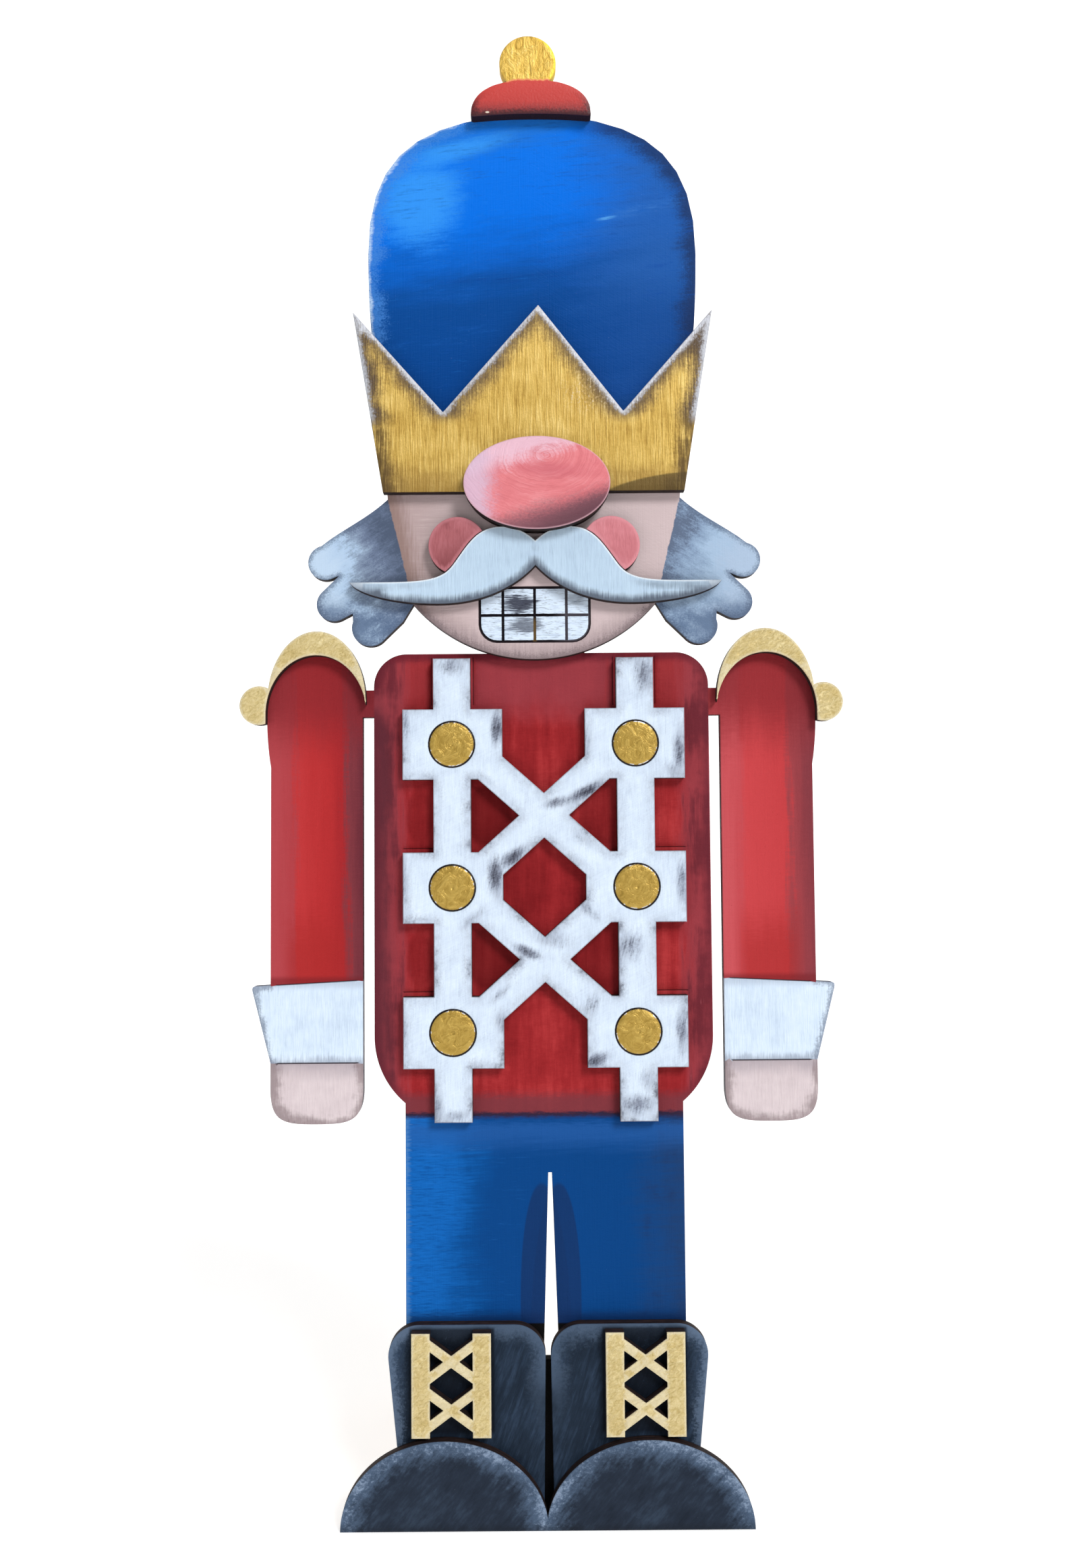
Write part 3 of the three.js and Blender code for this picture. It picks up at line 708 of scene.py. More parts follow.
def beyond_face(p, x):
    """Distance outwards from the line between face and hair."""
    return abs(x) - (p.z - HAIR_LINE["at"]) * HAIR_LINE["widens"] - HAIR_LINE["half"]


def hat_colour(p, x):
    sweep = p.noise(52, 11, angle=9, detail=6)
    dabs = p.noise(11, 1.1, angle=5, rough=0.7)
    grit = p.noise(0.9, 0.7, detail=2, rough=0.7)
    height = p.z - x * 0.13 + sweep * 9 + dabs * 4
    p.colour = p.ramp(height, [
        (575, (2, 64, 136)), (622, (4, 70, 144)), (636, (6, 78, 160)), (648, (4, 92, 190)),
        (664, (0, 108, 222)), (700, (6, 112, 226)), (720, (34, 112, 200)),
    ])
    band = p.spot(HEAD_X - 10, 632, 70, 4, 4, 1) + p.spot(HEAD_X + 30, 644, 45, 2.5, 6, 1)
    p.coat((4, 60, 132), band * p.step(dabs, -0.4, 0.8) * 0.7)
    pale = p.spot(HEAD_X - 58, 672, 34, 40, -20, 0.9) + p.spot(HEAD_X - 34, 702, 40, 9, 14, 1) * 0.8
    pale = p.step(pale + sweep * 0.25 + dabs * 0.2 + grit * 0.08, 0.1, 0.95)
    p.coat((54, 150, 240), pale * 0.8)
    dull = p.step(x + sweep * 14 + dabs * 5, 12, 66)
    p.coat((34, 90, 166), dull * p.step(p.z, 590, 640) * 0.85)
    p.coat((20, 74, 146), dull * p.step(p.z, 640, 600) * 0.85)
    p.coat((96, 172, 232), p.spot(HEAD_X + 39, 663.5, 7, 1.4, 10, 1) * p.step(dabs, -0.9, 0.4))
    light = p.spot(HEAD_X + 58, 668, 34, 5, 12, 1) * p.step(dabs, -0.5, 0.9)
    p.coat((62, 124, 200), light * 0.65)
    rim = p.step(p.edge + grit * 2.2 + dabs * 2 + sweep * 4, 12, 1) * p.step(x, 14, 44)
    p.coat((26, 44, 82), rim * 0.8)
    p.coat((2, 62, 148), p.step(dabs + sweep * 0.6, 0.2, 1.3) * 0.45)
    p.coat((36, 130, 230), p.step(dabs + sweep * 0.5, -0.5, -1.5) * p.step(x, 40, -40) * 0.45)
    dry = p.step(p.edge + sweep * 5 + dabs * 2.5, 15, 0) * p.step(x, -10, -50)
    p.coat((70, 134, 212), p.step(dry + grit * 0.35 + dabs * 0.25, 0.3, 1.1) * 0.7)
    chalk = p.step(p.edge + sweep * 1.5 + dabs * 0.8 + grit * 1.2, 3.6, 0) * p.step(x, -20, -50)
    p.coat((196, 220, 244), p.step(chalk + grit * 0.45, 0.4, 1.2) * 0.8)
    flecks = p.step(grit + dabs * 0.6, 1.1, 1.5)
    p.coat((6, 44, 98), flecks * 0.5)
    return p.coat((120, 176, 228), p.step(grit - dabs * 0.5, 1.35, 1.6) * 0.45), dabs


def face_colour(p, x):
    streak = p.noise(1.1, 12)
    grain = p.noise(14, 0.8, detail=3)
    grit = p.noise(0.8, 0.6, detail=2)
    p.colour = p.over((203, 184, 185), (176, 154, 153), p.step(x + grain * 8, -15, -75) * 0.9)
    p.coat((218, 200, 198), p.step(grain, 0.3, 1.3) * 0.4)
    near_hair = p.step(beyond_face(p, x) + streak * 3, -12.3, -0.3)
    p.coat((138, 112, 104), near_hair * p.step(x, 40, -50) * 0.8)
    chin = p.step(p.edge + streak * 1.4 + grit * 1.2, 4.6, 0.2) * p.step(p.z, 472, 456)
    p.coat((96, 84, 88), chin * 0.8)
    chin_haze = p.step(p.edge + streak * 2 + grit, 13, 2) * p.step(p.z, 466, 448)
    p.coat((138, 122, 124), chin_haze * 0.55)
    return p.coat((112, 90, 86), p.step(grit + grain * 0.5, 1.2, 1.5) * 0.5)


def hair_colour(p, x):
    mirrored = p.joined(abs(x), p.y, p.z)
    cloud = p.noise(20, 13, angle=-34, source=mirrored)
    strokes = p.noise(7, 1.0, angle=-30, rough=0.7, source=mirrored)
    grit = p.noise(0.9, 0.9, detail=3, rough=0.75)
    share = beyond_face(p, x) + cloud * 10 + strokes * 5 + grit * 4
    p.colour = p.ramp(share, [
        (0, (78, 90, 112)), (12, (106, 120, 146)), (22, (138, 156, 180)), (31, (174, 198, 224)),
        (44, (186, 207, 229)),
    ])
    bluer = p.ramp(share, [
        (0, (96, 110, 134)), (9, (134, 156, 184)), (24, (164, 188, 214)), (40, (170, 190, 214)),
    ])
    p.coat(bluer, p.step(x, -1, 1))
    lower = p.step(p.z + grit * 2 + cloud * 4, 470, 452) * p.step(cloud + grit * 0.4, 2.0, 0)
    p.coat((82, 102, 132), lower * 0.85)
    rim = p.step(p.edge + grit * 1.6 + cloud * 1.5, 3.8, 0)
    p.coat((84, 98, 122), rim * 0.75)
    return p.coat((52, 60, 78), p.step(grit + strokes * 0.5, 1.0, 1.5) * 0.5), strokes


def head_paint():
    p = Paint("head_paint")
    x = p.x - HEAD_X
    hat, dabs = hat_colour(p, x)
    face = face_colour(p, x)
    hair, strokes = hair_colour(p, x)
    wobble = p.noise(3, 3, detail=2) * 0.35
    lower = p.over(face, hair, p.step(beyond_face(p, x) + wobble, -0.3, 0.3))
    p.colour = p.over(lower, hat, p.step(p.z, HAT_FOOT - 0.5, HAT_FOOT + 0.5))
    p.coat((34, 24, 28), p.step(p.groove, 0.02, 0.3))
    relief = wood_grain(p) * 0.03 + dabs * 0.05 + strokes * 0.04
    return p.close(relief)


# Dark smudges on the teeth: x from the head's middle, z, half width, half height, strength.
TEETH_SMUDGES = ((-8, 461, 17, 8.5, 0.95), (-5, 450, 15, 7.5, 0.75), (21, 463, 9, 6, 0.35))


def teeth_paint():
    p = Paint("teeth_paint")
    x = p.x - HEAD_X
    strokes = p.noise(9, 0.7, detail=5, rough=0.72)
    fine = p.noise(3, 0.4, detail=3)
    p.colour = p.over((218, 233, 250), (170, 186, 210), p.step(strokes, -0.1, 1.0) * 0.8)
    for middle_x, z, half_wide, half_high, strength in TEETH_SMUDGES:
        smudge = p.spot(HEAD_X + middle_x, z, half_wide, half_high, 0, 0.9)
        smudge = p.step(smudge + strokes * 0.45 + fine * 0.15, 0.22, 0.85)
        p.coat((52, 54, 70), smudge * strength)
    groove = p.step(p.groove + fine * 0.1, 0.0, 0.16)
    ink = p.over((18, 14, 20), (84, 80, 88), p.step(x, 8, 18) * 0.7)
    ink = p.over(ink, (112, 88, 50), p.spot(HEAD_X, 447, 2, 8, 0, 0.5) * 0.7)
    p.coat(ink, groove)
    return p.close(strokes * 0.07 + fine * 0.03, roughness=0.45)


def teeth_outline():
    half, top, low, corner = (TEETH[key] for key in ("half", "top", "low", "corner"))
    turn = np.linspace(0, math.pi / 2, 7)
    right = np.stack([half - corner + corner * np.cos(turn), low + corner - corner * np.sin(turn)], axis=1)
    left = right[::-1] * [-1, 1]
    return line((-half, top), (half, top), *right, *left, (-half, top)) + [HEAD_X, 0]


def build_head():
    outline = teeth_outline()
    top, low, mid, half = (TEETH[key] for key in ("top", "low", "mid", "half"))
    grooves = [outline, line((HEAD_X - half, mid), (HEAD_X + half, mid))]
    for column in (-TEETH["column"], 0, TEETH["column"]):
        grooves.append(line((HEAD_X + column, low), (HEAD_X + column, top)))
    regions = [(teeth_paint(), lambda x, z: inside(np.stack([x, z], axis=1), [outline]))]
    plate("head_panel", head_paint(), None, regions, grooves)


# ---- crown, finial, nose, cheeks, moustache

CROWN = {"foot": 518, "half": 60, "widens": 0.163}
BALL_SEAM = 734.2  # where the gold ball meets the red brim
MOUSTACHE_MID = 460.5


def crown_paint():
    p = Paint("crown_paint")
    grain = p.noise(0.7, 13)
    cloud = p.noise(26, 16)
    fuzz = p.noise(1.1, 1.3, rough=0.75)
    p.colour = p.ramp(grain * 0.95 + cloud * 0.45 + fuzz * 0.25, [
        (-1.2, (160, 124, 50)), (-0.3, (196, 160, 76)), (0.4, (214, 180, 98)), (1.2, (240, 212, 134)),
    ])
    low = p.step(p.z + cloud * 6 + grain * 2, 536, 519)
    p.coat((142, 110, 54), low * 0.6)
    out = abs(p.x - HEAD_X) - (p.z - CROWN["foot"]) * CROWN["widens"] - CROWN["half"]
    flank = p.step(out, 0, 16)
    flank = p.step(p.edge + cloud * 5 + fuzz * 3 + grain * 2, 12, 1) * flank
    p.coat((76, 58, 36), flank * p.step(grain + cloud, 1.4, -0.6) * 0.85)
    patch = p.spot(HEAD_X + 66, 518, 36, 8.5, 9, 0.12)
    p.coat((78, 62, 34), patch * 0.75)
    zigzag = p.step(p.z, 551, 560)
    shade = p.step(p.edge + fuzz * 2.2 + cloud * 3 + grain * 1.6, 12, 1) * zigzag
    p.coat((82, 68, 58), shade * 0.9)
    chalk = p.step(p.edge + fuzz * 1.4 + cloud, 3.4, 0.2) * zigzag
    p.coat((206, 210, 220), chalk * 0.8)
    bloom = p.spot(HEAD_X + 30, 570, 22, 16) * p.step(fuzz + grain * 0.5, 0.1, 1.0)
    p.coat((202, 200, 196), bloom * 0.55)
    return p.close(grain * 0.09 + fuzz * 0.03, roughness=0.42, metallic=0.4, shine=0.3)


def ball_gold(p):
    """Gold of the pompom: upright brush streaks with a ridge of thick paint, and a painted highlight in
    bright yellow along the right of the ball's rim.
    """
    streak = p.noise(0.9, 11, rough=0.65)
    cloud = p.noise(5.5, 8, warp=1.4)
    gold = p.ramp(streak * 0.5 + cloud * 0.65, [
        (-1.2, (160, 122, 34)), (-0.3, (206, 166, 70)), (0.4, (226, 190, 96)), (1.2, (252, 232, 160)),
    ])
    # Painted highlight on the right of the ball's rim.
    right = p.step(p.reach(HEAD_X - 1.5, 742.9), 12.4, 14.4) * p.step(p.x, HEAD_X + 1, HEAD_X + 8)
    ridge = p.spot(HEAD_X + 0.5, 740, 0.8, 5, 6, 1) * 0.5
    return p.over(gold, (255, 222, 70), right * 0.7), streak * 0.05 + cloud * 0.16 + ridge


def finial_paint():
    p = Paint("finial_paint")
    gold, gold_relief = ball_gold(p)
    fine = p.noise(1.2, 1.2)
    red = p.ramp(p.z + fine * 1.0, [
        (714, (44, 26, 34)), (715.5, (78, 36, 42)), (718, (140, 50, 52)), (723, (188, 60, 56)),
        (733, (202, 68, 62)),
    ])
    corner_dark = p.step(p.edge + fine * 1.2, 4, 0.4) * p.step(p.z, 729, 719)
    red = p.over(red, (60, 26, 32), corner_dark * 0.8)
    red = p.over(red, (96, 24, 26), p.specks(0.9, 1.2) * 0.6)
    red = p.over(red, (228, 214, 196), p.spot(HEAD_X - 22.5, 717, 1.3, 0.6, 0, 0.5))
    wave = p.z + p.noise(5, 60, detail=2) * 1.1
    p.colour = p.over(red, (232, 150, 96), p.step(wave, BALL_SEAM - 1.0, BALL_SEAM - 0.3))
    on_gold = p.step(wave, BALL_SEAM - 0.2, BALL_SEAM + 0.3)
    p.coat(gold, on_gold)
    relief = gold_relief * on_gold + fine * 0.04
    return p.close(relief, roughness=0.42, metallic=on_gold * 0.4, shine=0.3)


def finial_edge():
    """Side of the finial: gold round the ball and burnt round the brim."""
    p = Paint("finial_edge")
    gold, relief = ball_gold(p)
    on_gold = p.step(p.z, BALL_SEAM - 0.6, BALL_SEAM)
    p.colour = p.over((40, 28, 32), p.over(gold, (150, 112, 40), 0.35), on_gold)
    return p.close(relief, roughness=0.5, metallic=on_gold * 0.35)


def nose_paint():
    p = Paint("nose_paint")
    low, high = (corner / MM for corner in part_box("nose"))
    mid_x, mid_z = (low.x + high.x) / 2, (low.z + high.z) / 2
    around = p.reach(mid_x + 4, mid_z + 14, 1, 0.72) + p.noise(14, 14, detail=3) * 1.5
    stroke = p.noise(1.0, 1.0, source=p.joined(around, p.y, p.x * 0.05))
    fuzz = p.noise(1.5, 1.1, rough=0.75)
    cloud = p.noise(16, 9)
    p.colour = p.tones(stroke * 0.55 + cloud * 0.5, (200, 98, 106), (221, 124, 130), (238, 158, 162))
    p.coat((200, 100, 112), p.spot(mid_x + 6, mid_z + 6.5, 30, 6.5, -4, 0.9) * 0.6)
    height = p.z - mid_z + (mid_x - p.x) * 0.3 + cloud * 3 + fuzz * 2.6 + stroke * 2
    p.coat((230, 196, 213), p.step(height, 9.5, 20) * 0.8)
    left = p.step(p.x - mid_x + fuzz * 3 + cloud * 3 + stroke * 2, -18, -31)
    p.coat((212, 182, 204), left * 0.85)
    depth = mid_z - p.z + (p.x - mid_x) * 0.3 + cloud * 1.5 + fuzz * 2.2 + stroke
    p.coat((112, 74, 86), p.step(depth, 8, 19) * 0.85)
    deepest = mid_z - p.z + (p.x - mid_x) * 0.45 + fuzz * 1.5
    p.coat((84, 52, 64), p.step(deepest, 16, 27) * 0.7)
    p.coat((214, 170, 180), p.step(p.edge, 0.9, 0.3) * 0.6)
    p.coat((146, 66, 76), p.specks(1.4, 0.4) * 0.5)
    return p.close(stroke * 0.1 + fuzz * 0.04, roughness=0.42, shine=0.2)


def cheek_paint(node, deep, mid, pale, shadow):
    """Dusty rose, darker low down on the side away from the light."""
    p = Paint(f"{node}_paint")
    low, high = (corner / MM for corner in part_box(node))
    grain = p.noise(0.8, 6, rough=0.65)
    cloud = p.noise(9, 9, detail=3)
    p.colour = p.tones(grain * 0.4 + cloud * 0.4, deep, mid, pale)
    lower = p.step((p.x - low.x) * 0.5 - p.z + high.z + cloud * 2, 13, 34)
    p.coat(deep, lower * shadow)
    p.coat(pale, p.step(p.edge + grain * 0.8, 2.2, 0.4) * 0.6)
    p.coat((120, 60, 66), p.specks(0.5, 1.6) * 0.45)
    return p.close(grain * 0.08)


def moustache_paint():
    p = Paint("moustache_paint")
    low, high = (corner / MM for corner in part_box("moustache"))
    grain = p.noise(0.6, 10)
    cloud = p.noise(18, 12, detail=3)
    grit = p.noise(0.9, 0.9, detail=3)
    p.colour = p.ramp(grain * 0.5 + cloud * 0.3, [
        (-1.2, (156, 176, 198)), (-0.2, (182, 204, 224)), (0.5, (192, 214, 233)), (1.2, (224, 238, 248)),
    ])
    side = abs(p.x - (low.x + high.x) / 2)
    sag = p.z - MOUSTACHE_MID - p.step(side, 40, 0) * 18
    # Painted shade along the lower edges of the moustache.
    under = p.step(p.edge + grain * 0.9 + cloud, 5.2, 0.6) * p.step(sag + cloud, 12, 5)
    p.coat((66, 70, 84), under * 0.85)
    # Painted highlight along the upper edges of the moustache.
    top = p.step(p.edge, 1.2, 0.3) * p.step(sag, 6, 12)
    p.coat((236, 244, 250), top * 0.8)
    p.coat((122, 132, 150), p.step(side + cloud * 3 + grain, 80, 95) * 0.6)
    p.coat((110, 122, 140), p.step(grit, 0.95, 1.3) * 0.4)
    return p.close(grain * 0.09)


def build_face_boards():
    plate("crown", crown_paint())
    plate("hat_finial", finial_paint(), finial_edge())
    plate("nose_block", BURNT)
    plate("nose", nose_paint())
    # Painted shade: the left cheek is a darker copy of the right one, with more shade low down.
    shaded_rose = cheek_paint("cheek_left", (122, 64, 68), (168, 98, 104), (196, 126, 134), 0.8)
    lit_rose = cheek_paint("cheek_right", (172, 94, 102), (205, 127, 135), (222, 150, 158), 0.3)
    plate("cheek_left", shaded_rose)
    plate("cheek_right", lit_rose)
    plate("moustache", moustache_paint())


# ---- body

ARM = {"inner": 92.3, "outer": 139.7}
CUFF = {"tip": 149.6, "inner_top": 268.9, "tip_top": 266.0, "low": 226.9}
TORSO_HALF = 86.5
WAIST = 200.0
SLOT_X = 2.6  # middle of the gap between the legs


def cuff_top(x):
    slope = (CUFF["tip_top"] - CUFF["inner_top"]) / (CUFF["tip"] - ARM["inner"])
    return CUFF["inner_top"] + slope * (np.abs(x) - ARM["inner"])


# Painted shadow of the raised straps on the jacket, deeper red between and beside them: x, z, half width,
# half height, share.
STRAP_SHADOWS = (
    (-28, 352.5, 16, 22, 0.8), (31, 352.5, 15, 22, 0.45), (-28, 279.5, 16, 22, 0.75),
    (31, 279.5, 15, 22, 0.5), (-8, 320, 13, 24, 0.3), (-63, 352, 9, 19, 0.4), (-63, 279, 9, 19, 0.4),
)


def torso_colour(p):
    strokes = p.noise(4.5, 38, detail=5, rough=0.65)
    fine = p.noise(3, 0.9, rough=0.7)
    cloud = p.noise(34, 30)
    scratch = p.noise(0.7, 9, detail=2)
    p.colour = p.tones(cloud * 0.75 + strokes * 0.6 + fine * 0.2, (120, 20, 26), (152, 37, 41), (184, 58, 60))
    side = abs(p.x - LATTICE["x"])
    chest = p.step(p.z + cloud * 10, 392, 418) * p.step(side + strokes * 6, 46, 30)
    p.coat((146, 58, 67), chest * 0.8)
    shoulder = p.step(side + strokes * 4, 52, 64) * p.step(p.z + cloud * 8, 396, 416)
    p.coat((150, 50, 55), shoulder * 0.7)
    sides = p.step(side + strokes * 4, 66, 77)
    p.coat((150, 62, 71), sides * 0.75)
    maroon = p.step(side + strokes * 7, 70, 80) * p.step(cloud + strokes * 0.5, -0.5, 0.7)
    p.coat((84, 28, 40), maroon * 0.75)
    left = p.step(strokes * 2.4 + cloud * 2 - p.x, 72, 84)
    p.coat((88, 40, 50), left * p.step(p.z, 425, 395) * 0.8)
    # Painted shadow where the raised straps shade the jacket.
    for x, z, half_wide, half_high, share in STRAP_SHADOWS:
        shade = p.spot(x, z, half_wide, half_high, 0, 0.5) + fine * 0.06
        p.coat((96, 12, 16), p.step(shade, 0.1, 0.9) * share)
    ends = p.step(p.edge + strokes * 1.5, 5, 0.4)
    p.coat((92, 32, 44), ends * 0.55)
    p.coat((104, 30, 42), p.step(p.z + fine * 1.0, 430, 435) * 0.7)
    p.coat((200, 110, 118), p.step(scratch + strokes * 0.5, 1.2, 1.7) * sides * 0.6)
    p.coat((78, 12, 18), p.specks(1.6, 0.4) * 0.5)
    return p.coat((186, 74, 78), p.specks(0.4, 1.8, 1.2, 1.4) * 0.4), strokes, fine


def sleeve_colour(p):
    """Red with a paler outer side and a dark inner side, in long overlapping strokes."""
    outward = abs(p.x) - ARM["inner"]
    strokes = p.noise(6, 1.0, rough=0.7)
    long = p.noise(5, 70, detail=5)
    share = outward + strokes * 0.9 + long * 3.5
    left_arm = p.ramp(share, [
        (0, (102, 42, 52)), (7, (122, 52, 60)), (10, (160, 38, 42)), (20, (174, 44, 46)),
        (34, (182, 52, 54)), (36.5, (168, 60, 66)), (47, (172, 68, 74)),
    ])
    right_arm = p.ramp(share, [
        (0, (196, 84, 90)), (9, (188, 72, 78)), (13, (194, 66, 70)), (33, (188, 60, 64)),
        (36, (152, 62, 68)), (47, (126, 54, 62)),
    ])
    p.colour = p.over(left_arm, right_arm, p.step(p.x, -1, 1))
    # Painted shade at the top of the sleeve, under the raised epaulette.
    top = p.step(p.z + long * 4 + strokes * 3, 376, 414)
    p.coat((128, 36, 42), top * 0.75)
    low = p.step(p.z + strokes * 4 + long * 6, 312, 284) * p.step(outward, 4, 14) * p.step(outward, 44, 34)
    p.coat((158, 38, 38), low * 0.6)
    p.coat((112, 30, 36), p.step(p.z, 272, 269) * 0.6)
    return p.coat((110, 24, 30), p.specks(0.5, 1.8) * 0.45)


def trouser_colour(p):
    strokes = p.noise(30, 1.8, angle=3, detail=6, rough=0.66)
    dabs = p.noise(8, 0.9, rough=0.7)
    cloud = p.noise(24, 40)
    across = p.x + strokes * 8 + cloud * 9 + dabs * 2
    p.colour = p.ramp(across, [
        (-70, (4, 74, 144)), (-56, (4, 76, 148)), (-40, (2, 72, 140)), (-24, (2, 64, 128)),
        (38, (2, 62, 124)), (56, (16, 62, 118)), (70, (26, 58, 104)),
    ])
    brushed = p.step(p.x + strokes * 14 + dabs * 7 + cloud * 8, -34, -54)
    brushed = brushed * p.step(dabs + strokes * 0.5, -1.2, 0.5)
    p.coat((16, 102, 186), brushed * 0.8)
    ink = p.step(across, 40, 62) * p.step(cloud + dabs * 0.3, -0.2, 0.9)
    p.coat((24, 44, 84), ink * 0.7)
    top = p.step(p.z + strokes * 3 + dabs, 178, 192) * p.step(p.z + dabs * 2, 199, 193)
    p.coat((34, 88, 158), top * 0.65)
    p.coat((40, 122, 204), p.step(strokes + dabs * 0.4, 0.4, 1.3) * p.step(p.x, 10, -50) * 0.6)
    for side in (-1, 1):
        patch = p.spot(SLOT_X + side * 2.5, 96, 13, 71, side * -1.6, 0.04)
        p.coat((15, 48, 96), patch * 0.85)
    p.coat((14, 40, 84), p.step(p.z + dabs, BOOT["top"] + 8, BOOT["top"] + 2) * 0.7)
    chalk = p.step(p.edge + dabs * 2, 3, 0.2) * p.step(p.x, -40, -60)
    p.coat((92, 144, 196), chalk * 0.5)
    # Black below the boots' top, where the board shows in the gap between the boots: dark paint, and painted
    # shade for the deep shadow in that narrow gap.
    p.coat((10, 9, 10), p.step(p.z, BOOT["top"] + 0.5, BOOT["top"] - 0.5))
    p.coat((120, 164, 210), p.specks(0.4, 1.4, 1.25, 1.45) * 0.4)
    return p.coat((10, 30, 70), p.specks(1.8, 0.4) * 0.45), strokes


def body_paint():
    p = Paint("body_paint")
    torso, strokes, fine = torso_colour(p)
    sleeve = sleeve_colour(p)
    trouser, trouser_strokes = trouser_colour(p)
    p.colour = p.over(torso, (116, 52, 60), p.step(p.z + fine * 1.2, 214, 207) * 0.85)
    p.coat((46, 34, 56), p.step(p.z + fine * 0.8, 202.5, 200.5))
    p.coat(trouser, p.step(p.z + fine * 0.8, 200.5, 197.5))
    tab = p.step(abs(p.x), TORSO_HALF - 0.6, TORSO_HALF + 0.4) * p.step(p.z, WAIST, WAIST + 1)
    p.coat(sleeve, tab)
    p.coat((40, 12, 18), p.step(p.groove, 0.5, 0.95) * 0.85)
    relief = wood_grain(p) * 0.03 + fine * 0.04 + strokes * 0.05 + trouser_strokes * 0.04
    return p.close(relief)


def body_edge():
    """Side of the body panel: the paint of the front worn and darkened."""
    p = Paint("body_edge")
    grain = p.noise(4, 4, deep=2)
    p.colour = p.over((8, 34, 72), (86, 28, 34), p.step(p.z, WAIST - 1, WAIST + 1))
    low_arm = p.step(abs(p.x), ARM["inner"] - 1, ARM["inner"]) * p.step(p.z, 270, 267)
    p.coat((150, 152, 162), low_arm)
    p.coat((24, 16, 18), p.step(grain + p.y * 0.3, -1.2, 0.6) * 0.75)
    # Black below the boots' top, in the gap between the boots: dark paint, and painted shade for the deep
    # shadow there.
    p.coat((10, 9, 10), p.step(p.z, BOOT["top"] + 3, BOOT["top"] + 1))
    return p.close(grain * 0.05, roughness=0.7)


def cuff_paint():
    p = Paint("cuff_paint")
    grain = p.noise(0.7, 9, rough=0.62)
    cloud = p.noise(14, 12, detail=3)
    grit = p.noise(0.9, 0.9, detail=3)
    p.colour = p.tones(grain * 0.45 + cloud * 0.4, (178, 196, 218), (210, 226, 243), (228, 240, 252))
    rim = p.step(p.edge + grain * 1.2 + cloud + grit, 3.6, 0.2)
    p.coat((108, 118, 138), rim * p.step(abs(p.x), 106, 130) * 0.75)
    low = p.step(p.z + grain * 1.4 + cloud * 1.4, 232, 227.5)
    p.coat((126, 132, 150), low * 0.55)
    ends = p.step(p.z + grain * 0.6, 263, 267.5)
    p.coat((158, 170, 190), ends * 0.5)
    p.coat((120, 128, 146), p.step(grit, 0.95, 1.3) * 0.4)
    p.coat((40, 30, 38), p.step(p.groove, 0.3, 0.8) * 0.9)
    return p.close(grain * 0.09)


def hand_paint():
    p = Paint("hand_paint")
    grain = p.noise(0.9, 9, rough=0.62)
    cloud = p.noise(16, 10)
    grit = p.noise(0.8, 0.8, detail=3)
    p.colour = p.tones(grain * 0.4 + cloud * 0.45, (188, 173, 176), (209, 195, 198), (224, 211, 212))
    # Painted shade at the top of the hand, just under the cuff.
    top = p.step(p.z + cloud * 2.5, 217, 226)
    p.coat((168, 157, 164), top * 0.8)
    rim = p.step(p.edge + grain * 1.6 + cloud * 3.2, 6, 0)
    p.coat((134, 118, 120), rim * 0.75)
    streaked = p.step(p.edge + grain * 3, 7, 2) * p.step(p.z, 212, 202) * p.step(grain, 0.3, 0.9)
    p.coat((84, 66, 66), streaked * 0.6)
    p.coat((130, 112, 114), p.step(grit, 1.0, 1.3) * 0.45)
    p.coat((40, 30, 38), p.step(p.groove, 0.3, 0.8) * 0.9)
    return p.close(grain * 0.07)


def build_body():
    grooves = []
    for side in (-1, 1):
        ends = np.array([ARM["inner"], CUFF["tip"]])
        grooves.append(line(*zip(side * ends, cuff_top(ends))))
        grooves.append(line((side * ARM["inner"], CUFF["low"]), (side * ARM["outer"], CUFF["low"])))
    grooves += guide_lines()
    on_arm = lambda x: np.abs(x) > ARM["inner"] - 1
    regions = [
        (cuff_paint(), lambda x, z: on_arm(x) & (z < cuff_top(x)) & (z > CUFF["low"])),
        (hand_paint(), lambda x, z: on_arm(x) & (z <= CUFF["low"])),
    ]
    plate("body_panel", body_paint(), body_edge(), regions, grooves)


# ---- lattice and buttons

LATTICE = {"x": 1.0, "strap_x": 46.9, "strap_wide": 19.2, "block_x": 46.65, "block_wide": 51.1,
           "block_high": 36.1, "rows": (389.0, 315.8, 242.6)}
BUTTON = {"x": 47.0, "radius": 11.8, "proud": 0.4, "slope": 1.6, "rings": (2.2, 4.4, 6.6, 8.4, 9.6)}
# Scored guide lines: their gap above a block, from their inner end to the strap and beside a strap,
# and the two heights between which the upright ones run.
GUIDE = {"above": 2.0, "inward": 1.5, "beside": 1.2, "ends": (410, 434)}


def button_places():
    return [(LATTICE["x"] + side * BUTTON["x"], z) for z in LATTICE["rows"] for side in (-1, 1)]


def guide_lines():
    """Thin scored lines on the jacket just outside the blocks and beside the straps' top ends."""
    made = []
    half = LATTICE["block_wide"] / 2
    for side in (-1, 1):
        x = LATTICE["x"] + side * LATTICE["block_x"]
        for z in LATTICE["rows"][1:]:
            high = z + LATTICE["block_high"] / 2 + GUIDE["above"]
            inner = x + side * (LATTICE["strap_wide"] / 2 + GUIDE["inward"])
            made.append(line((x + side * half, high), (inner, high)))
        for flank in (-1, 1):
            away = flank * (LATTICE["strap_wide"] / 2 + GUIDE["beside"])
            at = LATTICE["x"] + side * LATTICE["strap_x"] + away
            made.append(line(*((at, z) for z in GUIDE["ends"])))
    return made


